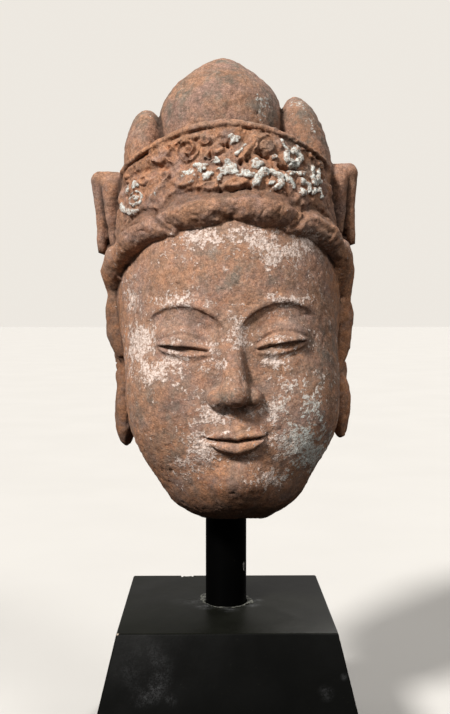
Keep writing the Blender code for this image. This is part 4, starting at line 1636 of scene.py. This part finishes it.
    def settle(self, clay: Clay, rounds: int, amount: float, by_slope: bool) -> None:
        """Draw the vertices onto the head's forms while keeping them evenly spread.

        Args:
            clay: The body to shape.
            rounds: How often to repeat.
            amount: How strongly the vertices are spread each time.
            by_slope: Whether to move along the field's slope and not the mesh's normals.
        """
        small = 0.001
        for _ in range(rounds):
            points = clay.relaxed(clay.points(), amount)
            clay.put(points)
            d = self.mass(points)
            if by_slope:
                way = np.column_stack([self.mass(points + small * row) - d for row in np.eye(3)])
                way /= np.maximum(np.linalg.norm(way, axis=1), 1e-9)[:, None]
            else:
                way = clay.normals()
            clay.put(points - way * np.clip(d, -self.longest_step, self.longest_step)[:, None])

    def front_parts(self, p: Points) -> Values:
        """Return whether each place is on the face, the hair band or the crown's front."""
        front = (p[:, 1] < -0.06) & (p[:, 2] > 0.03) & (p[:, 2] < 0.83)
        return front & ((np.abs(p[:, 0]) < 0.21) | (p[:, 2] > 0.55))

    def ornament_parts(self, p: Points) -> Values:
        """Whether each place is on the scrollwork of the crown's front.

        Args:
            p: Places to test.

        Returns:
            True for each place on it.
        """
        angle = self.crown.angle_of(p)
        level = (p[:, 2] > self.crown.foot(angle) + 0.004) & (p[:, 2] < self.crown.top(angle))
        return level & (np.abs(angle) < 1.25) & (np.abs(self.crown.reach(p)) < 0.020)

    @staticmethod
    def refine(clay: Clay, chosen: Callable[[Points], Values]) -> None:
        """Divide some faces once more.

        Args:
            clay: The body to refine.
            chosen: Tells for the faces' centres which of them are divided.
        """
        faces = clay.mesh.polygons
        faces.foreach_set("select", chosen(triples(faces, "center")))
        pick(clay.piece)
        bpy.ops.object.mode_set(mode="EDIT")
        bpy.ops.mesh.select_mode(type="FACE")
        bpy.ops.mesh.subdivide(number_cuts=1)
        bpy.ops.object.mode_set(mode="OBJECT")

    def wear(self, p: Points, normals: Points) -> Values:
        """Unevenness of old worn stone.

        Args:
            p: Points on the carved surface.
            normals: Outward directions there.

        Returns:
            Distances to raise each point.
        """
        x, y, z = p.T
        face = ramp(-0.10, -0.17, y) * ramp(0.62, 0.57, z) * ramp(0.23, 0.19, np.abs(x))
        cloth = ramp(0.245, 0.262, np.abs(x)) * ramp(0.55, 0.58, z)
        coarse = (1 - 0.80 * face) * (1 - 0.65 * cloth)
        depth = coarse * self.wear_swell * rough(p, 0.110, 11, 2)
        depth += coarse * self.wear_bumps * rough(p, 0.034, 23, 2)
        depth += (0.0007 + 0.0010 * coarse) * rough(p, 0.011, 37, 2)
        depth += self.crown_grain * rough(p, 0.0055, 45, 2) * ramp(0.60, 0.62, z) * ramp(0.02, -0.06, y)
        pits = np.clip(rough(p, 0.014, 51, 2) - 0.36, 0, 1)
        depth -= (0.003 + 0.007 * coarse) * pits
        broken = ramp(0.030, 0.0, z) * ramp(0.8, 1.0, -normals[:, 2])
        return depth + broken * self.break_depth * rough(p, 0.060, 71, 3)

    def shaped(self) -> Clay:
        """Draw the rough block onto the head's forms in finer and finer stages.

        Returns:
            The settled body, without its relief.
        """
        clay = self.rough_block()
        for voxel, *settling in self.stages:
            clay.modify("REMESH", mode="VOXEL", voxel_size=voxel)
            self.settle(clay, *settling)
        for chosen in (self.front_parts, self.ornament_parts):
            self.refine(clay, chosen)
            self.settle(clay, *self.resettling)
        return clay

    def thin(self, clay: Clay) -> None:
        """Bring the body under its limit of triangles.

        Args:
            clay: The carved body.
        """
        clay.mesh.calc_loop_triangles()
        share = self.most_triangles / len(clay.mesh.loop_triangles)
        if share < 1:
            LOG.info("carved head has %d triangles before thinning", len(clay.mesh.loop_triangles))
            clay.modify("DECIMATE", ratio=share)

    def carve(self) -> Clay:
        """Carve the head in shares of its height.

        Returns:
            The carved body with its stored values.
        """
        clay = self.shaped()
        points = clay.points()
        crown_depth, crown_white, crown_shade = self.crown.relief(points)
        hair = self.band.add_to(np.full(len(points), 1.0), points, self.skull)
        bare, seam = self.crown_cover(points, hair)
        parting = self.band.parting(points, self.crown, hair)
        depth = self.skull.relief(points) + crown_depth * bare - self.seam_depth * seam
        depth += self.band.back_grooves(points, self.crown) + parting
        clay.put(points + clay.normals() * depth[:, None])
        worn = clay.relaxed(clay.relaxed(clay.points(), 0.6), 0.6)
        clay.put(clay.points() + (worn - clay.points()) * (np.abs(crown_depth) * bare > 1e-5)[:, None])
        # Painted shade in the partings, on the crown's ground and in the seam over the hair band.
        cuts = self.parting_shade * ramp(0.001, 0.0045, -parting)
        low = np.maximum.reduce((self.ground_shade * crown_shade * bare, self.seam_shade * seam, cuts))
        self.store_values(clay, points, crown_white * bare, low)
        points = clay.points()
        normals = clay.normals()
        clay.put(points + normals * self.wear(points, normals)[:, None])
        self.thin(clay)
        return clay

    def crown_cover(self, p: Points, hair: Values) -> tuple[Values, Values]:
        """Where the crown's own wall shows.

        Args:
            p: Points on the settled surface.
            hair: Distances from the locks.

        Returns:
            1 on the wall and 0 on what stands against it, and 1 in the seam above the hair band.
        """
        others = np.minimum(self.ribbon.mass(mirrored(p)), self.knot.mass(p))
        angle = self.crown.angle_of(p)
        wall = ramp(0.0, 0.02, p[:, 2] - self.crown.foot(angle)) * ramp(1.4, 1.1, np.abs(angle))
        return ramp(0.001, 0.006, np.minimum(others, hair)), bell(hair - 0.002, 0.0045) * wall

    def store_values(self, clay: Clay, p: Points, crown_white: Values, crown_shade: Values) -> None:
        """Keep what the finish reads: white ground, painted shade with some real dirtiness, grey soiling with
        painted shade and painted light, and ochre.

        Args:
            clay: The carved body.
            p: The settled points before the fine cuts.
            crown_white: How strongly white ground clings to the crown.
            crown_shade: Painted shade on the crown's ground between the motifs, in its seam and in the
                partings.
        """
        x, y, z = p.T
        front = np.maximum(ramp(0.02, -0.08, y), ramp(0.78, 0.80, z) * ramp(0.09, 0.05, y))
        ground = np.zeros(len(p))
        for patch in self.patches:
            ground = np.maximum(ground, patch.cover(x, z))
        ground = self.white_on_face * ground + 0.15 * ramp(0.61, 0.59, z)
        ground = ground * front * ramp(0.0, 0.15, 1 - ramp(0.60, 0.62, z) * ramp(0.80, 0.78, z))
        ground = np.maximum(ground, self.white_on_crown * crown_white)
        # Painted shade, partly real dirtiness: hollows darkened by how deep they lie, more readily on the
        # hair and the crown.
        hollow = clay.hollowness(10)
        dressed = ramp(0.54, 0.58, z)
        shade_and_soiling = np.maximum(ramp(0.0006, 0.0034, hollow), dressed * ramp(0.0004, 0.0030, hollow))
        # Darkening of the ear on the -X side.
        ears = ramp(0.195, 0.215, -x) * ramp(0.50, 0.44, z) * ramp(-0.05, -0.02, y)
        # Painted shade under the chin, darker towards the bottom.
        below = self.neck_shade * ramp(0.16, 0.03, z)
        shade_and_soiling = np.maximum.reduce((shade_and_soiling, self.relief_shade * crown_shade, self.ear_darkening * ears, below))
        ground = np.clip(ground - (0.25 + 0.35 * dressed) * shade_and_soiling, 0, 1)
        for shade in self.shades:
            shade_and_soiling = np.maximum(shade_and_soiling, self.shade_depth * shade.cover(x, z) * front)
        clay.store("ground", ground)
        crown = ramp(0.66, 0.69, z) * ramp(0.82, 0.80, z) * ramp(0.0, -0.06, y)
        # Painted light: on the crown's front less painted shade is kept, least on the -X side, towards the
        # key lamp.
        lit = crown * (0.30 + 0.25 * ramp(0.0, -0.12, x))
        clay.store("shade_and_soiling", np.clip(shade_and_soiling * (0.85 - lit), 0, 1))
        sides = ramp(0.19, 0.24, np.abs(x)) * ramp(0.62, 0.50, z)
        lower = ramp(0.30, 0.06, z)
        knot = ramp(0.80, 0.86, z)
        clay.store("ochre", np.clip(0.42 - 0.30 * knot + 0.30 * crown + 0.55 * lower + 0.60 * sides, 0, 1))
        up = np.clip(clay.normals()[:, 2], 0, 1)
        band = ramp(0.60, 0.64, z) * ramp(0.70, 0.67, z)
        grime_and_shading = 0.30 + 0.47 * knot - 0.05 * band + 0.20 * up
        # These patches add staining, painted shade and, where negative, painted light.
        for tone_patch in self.stains_and_shading:
            grime_and_shading = grime_and_shading + tone_patch.cover(x, z) * front
        clay.store("grime_and_shading", np.clip(grime_and_shading, 0, 1))
        clay.store("cool", np.maximum(ramp(0.06, 0.14, x) * ramp(0.34, 0.22, z), ramp(0.63, 0.66, z)))

    def build(self, block_top: float) -> None:
        """Carve the head, lean it and set it over the post.

        Args:
            block_top: Height of the block's top face.
        """
        clay = self.carve()
        centre = Vector((0, 0, self.lean_centre))
        lean = Matrix.Rotation(-radians(self.lean_deg), 4, "Y")
        turn = Matrix.Translation(centre) @ lean @ Matrix.Translation(-centre)
        foot = Matrix.Translation((0, 0, block_top + self.above_block))
        clay.mesh.transform(foot @ Matrix.Scale(self.height, 4) @ turn)
        clay.mesh.update()
        clay.mesh.shade_smooth()
        clay.mesh.materials.clear()
        clay.mesh.materials.append(Sandstone().make())
        hand_over(clay.piece, "head")


@dataclass
class Studio:
    """Pale floor, soft light and the camera at the photograph's view."""

    floor_size: float = 60.0
    picture_height: int = 714
    focal_pixels: float = 994.0
    sensor: float = 36.0
    camera_place: Triple = (-0.0121, -0.924, 0.4134)
    look_down_deg: float = 2.5
    look_right_deg: float = 0.69
    surround: Triple = (0.850, 0.810, 0.750)
    fill_above: Triple = (0.260, 0.250, 0.240)
    fill_below: Triple = (0.022, 0.019, 0.016)
    lamp_colour: Triple = (1.0, 0.97, 0.93)
    lamp_distance: float = 3.0
    floor_dark: Triple = (0.510, 0.501, 0.483)
    floor_light: Triple = (0.525, 0.516, 0.498)
    # Each lamp's name, azimuth, height, strength and softness.
    lamps: tuple[tuple[str, float, float, float, float], ...] = (
        ("key left", -38, 39, 5.2, 10),
        ("fill right", 42, 40, 0.92, 16),
        ("back", 150, 40, 1.5, 20),
    )

    def floor(self) -> None:
        """Lay the floor."""
        bpy.ops.mesh.primitive_plane_add(size=self.floor_size, location=(0, 0, 0))
        floor = bpy.context.object
        floor.name = "floor"
        s = Shader("pale floor", 0.1)
        colour = s.mix(s.spots(3, 3, 0.55, 0.3, 0.7), self.floor_dark, self.floor_light)
        floor.data.materials.append(s.finish(colour, 0.9, s.bump(s.noise(40, 3), 0.05, 0.001)))
        floor.visible_diffuse = False
        floor.visible_glossy = False

    def lamp(self, name: str, azimuth: float, height: float, strength: float, softness: float) -> None:
        """Set up one soft distant lamp.

        Args:
            name: The lamp's name.
            azimuth: Degrees round the object, 0 at the camera and positive to the right.
            height: Degrees over the floor.
            strength: Its light in watts on a square metre.
            softness: How many degrees wide it looks from the object.
        """
        data = bpy.data.lights.new(name, "SUN")
        data.energy = strength
        data.angle = radians(softness)
        data.color = self.lamp_colour
        lamp = bpy.data.objects.new(name, data)
        a, e = radians(azimuth), radians(height)
        lamp.location = Vector((sin(a) * cos(e), -cos(a) * cos(e), sin(e))) * self.lamp_distance
        lamp.rotation_euler = lamp.location.to_track_quat("Z", "Y").to_euler()
        bpy.context.scene.collection.objects.link(lamp)

    def world(self) -> None:
        """Give a pale surround for the camera and a dim fill for the object."""
        world = bpy.data.worlds.new("surround")
        world.use_nodes = True
        s = Nodes(world.node_tree)
        height = s.add("SeparateXYZ", "Z", {0: s.add("TexCoord", "Generated", {})})
        share = s.add("MapRange", "Result", {"Value": height, "From Min": -0.35, "From Max": 0.25})
        colour = s.mix(share, self.fill_below, self.fill_above)
        colour = s.mix(s.add("LightPath", "Is Camera Ray", {}), colour, self.surround)
        s.join(colour, s.tree.nodes["Background"].inputs["Color"])
        bpy.context.scene.world = world

    def camera(self) -> None:
        """Place the camera where the photograph was taken."""
        data = bpy.data.cameras.new("camera")
        data.sensor_fit = "VERTICAL"
        data.sensor_height = self.sensor
        data.lens = self.focal_pixels / self.picture_height * self.sensor
        data.clip_start = 0.01
        camera = bpy.data.objects.new("camera", data)
        camera.location = self.camera_place
        camera.rotation_euler = (radians(90 - self.look_down_deg), 0, -radians(self.look_right_deg))
        bpy.context.scene.collection.objects.link(camera)
        bpy.context.scene.camera = camera

    def build(self) -> None:
        """Set up floor, lamps, surround and camera."""
        self.floor()
        self.world()
        for lamp in self.lamps:
            self.lamp(*lamp)
        self.camera()
        bpy.context.scene.view_settings.view_transform = "Standard"


def main() -> None:
    """Build the pieces in order."""
    logging.basicConfig(level=logging.INFO, format="%(message)s")
    Studio().build()
    block_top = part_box("base")[1].z
    StoneHead().build(block_top)
    Mount().build()


if __name__ == "__main__":
    main()
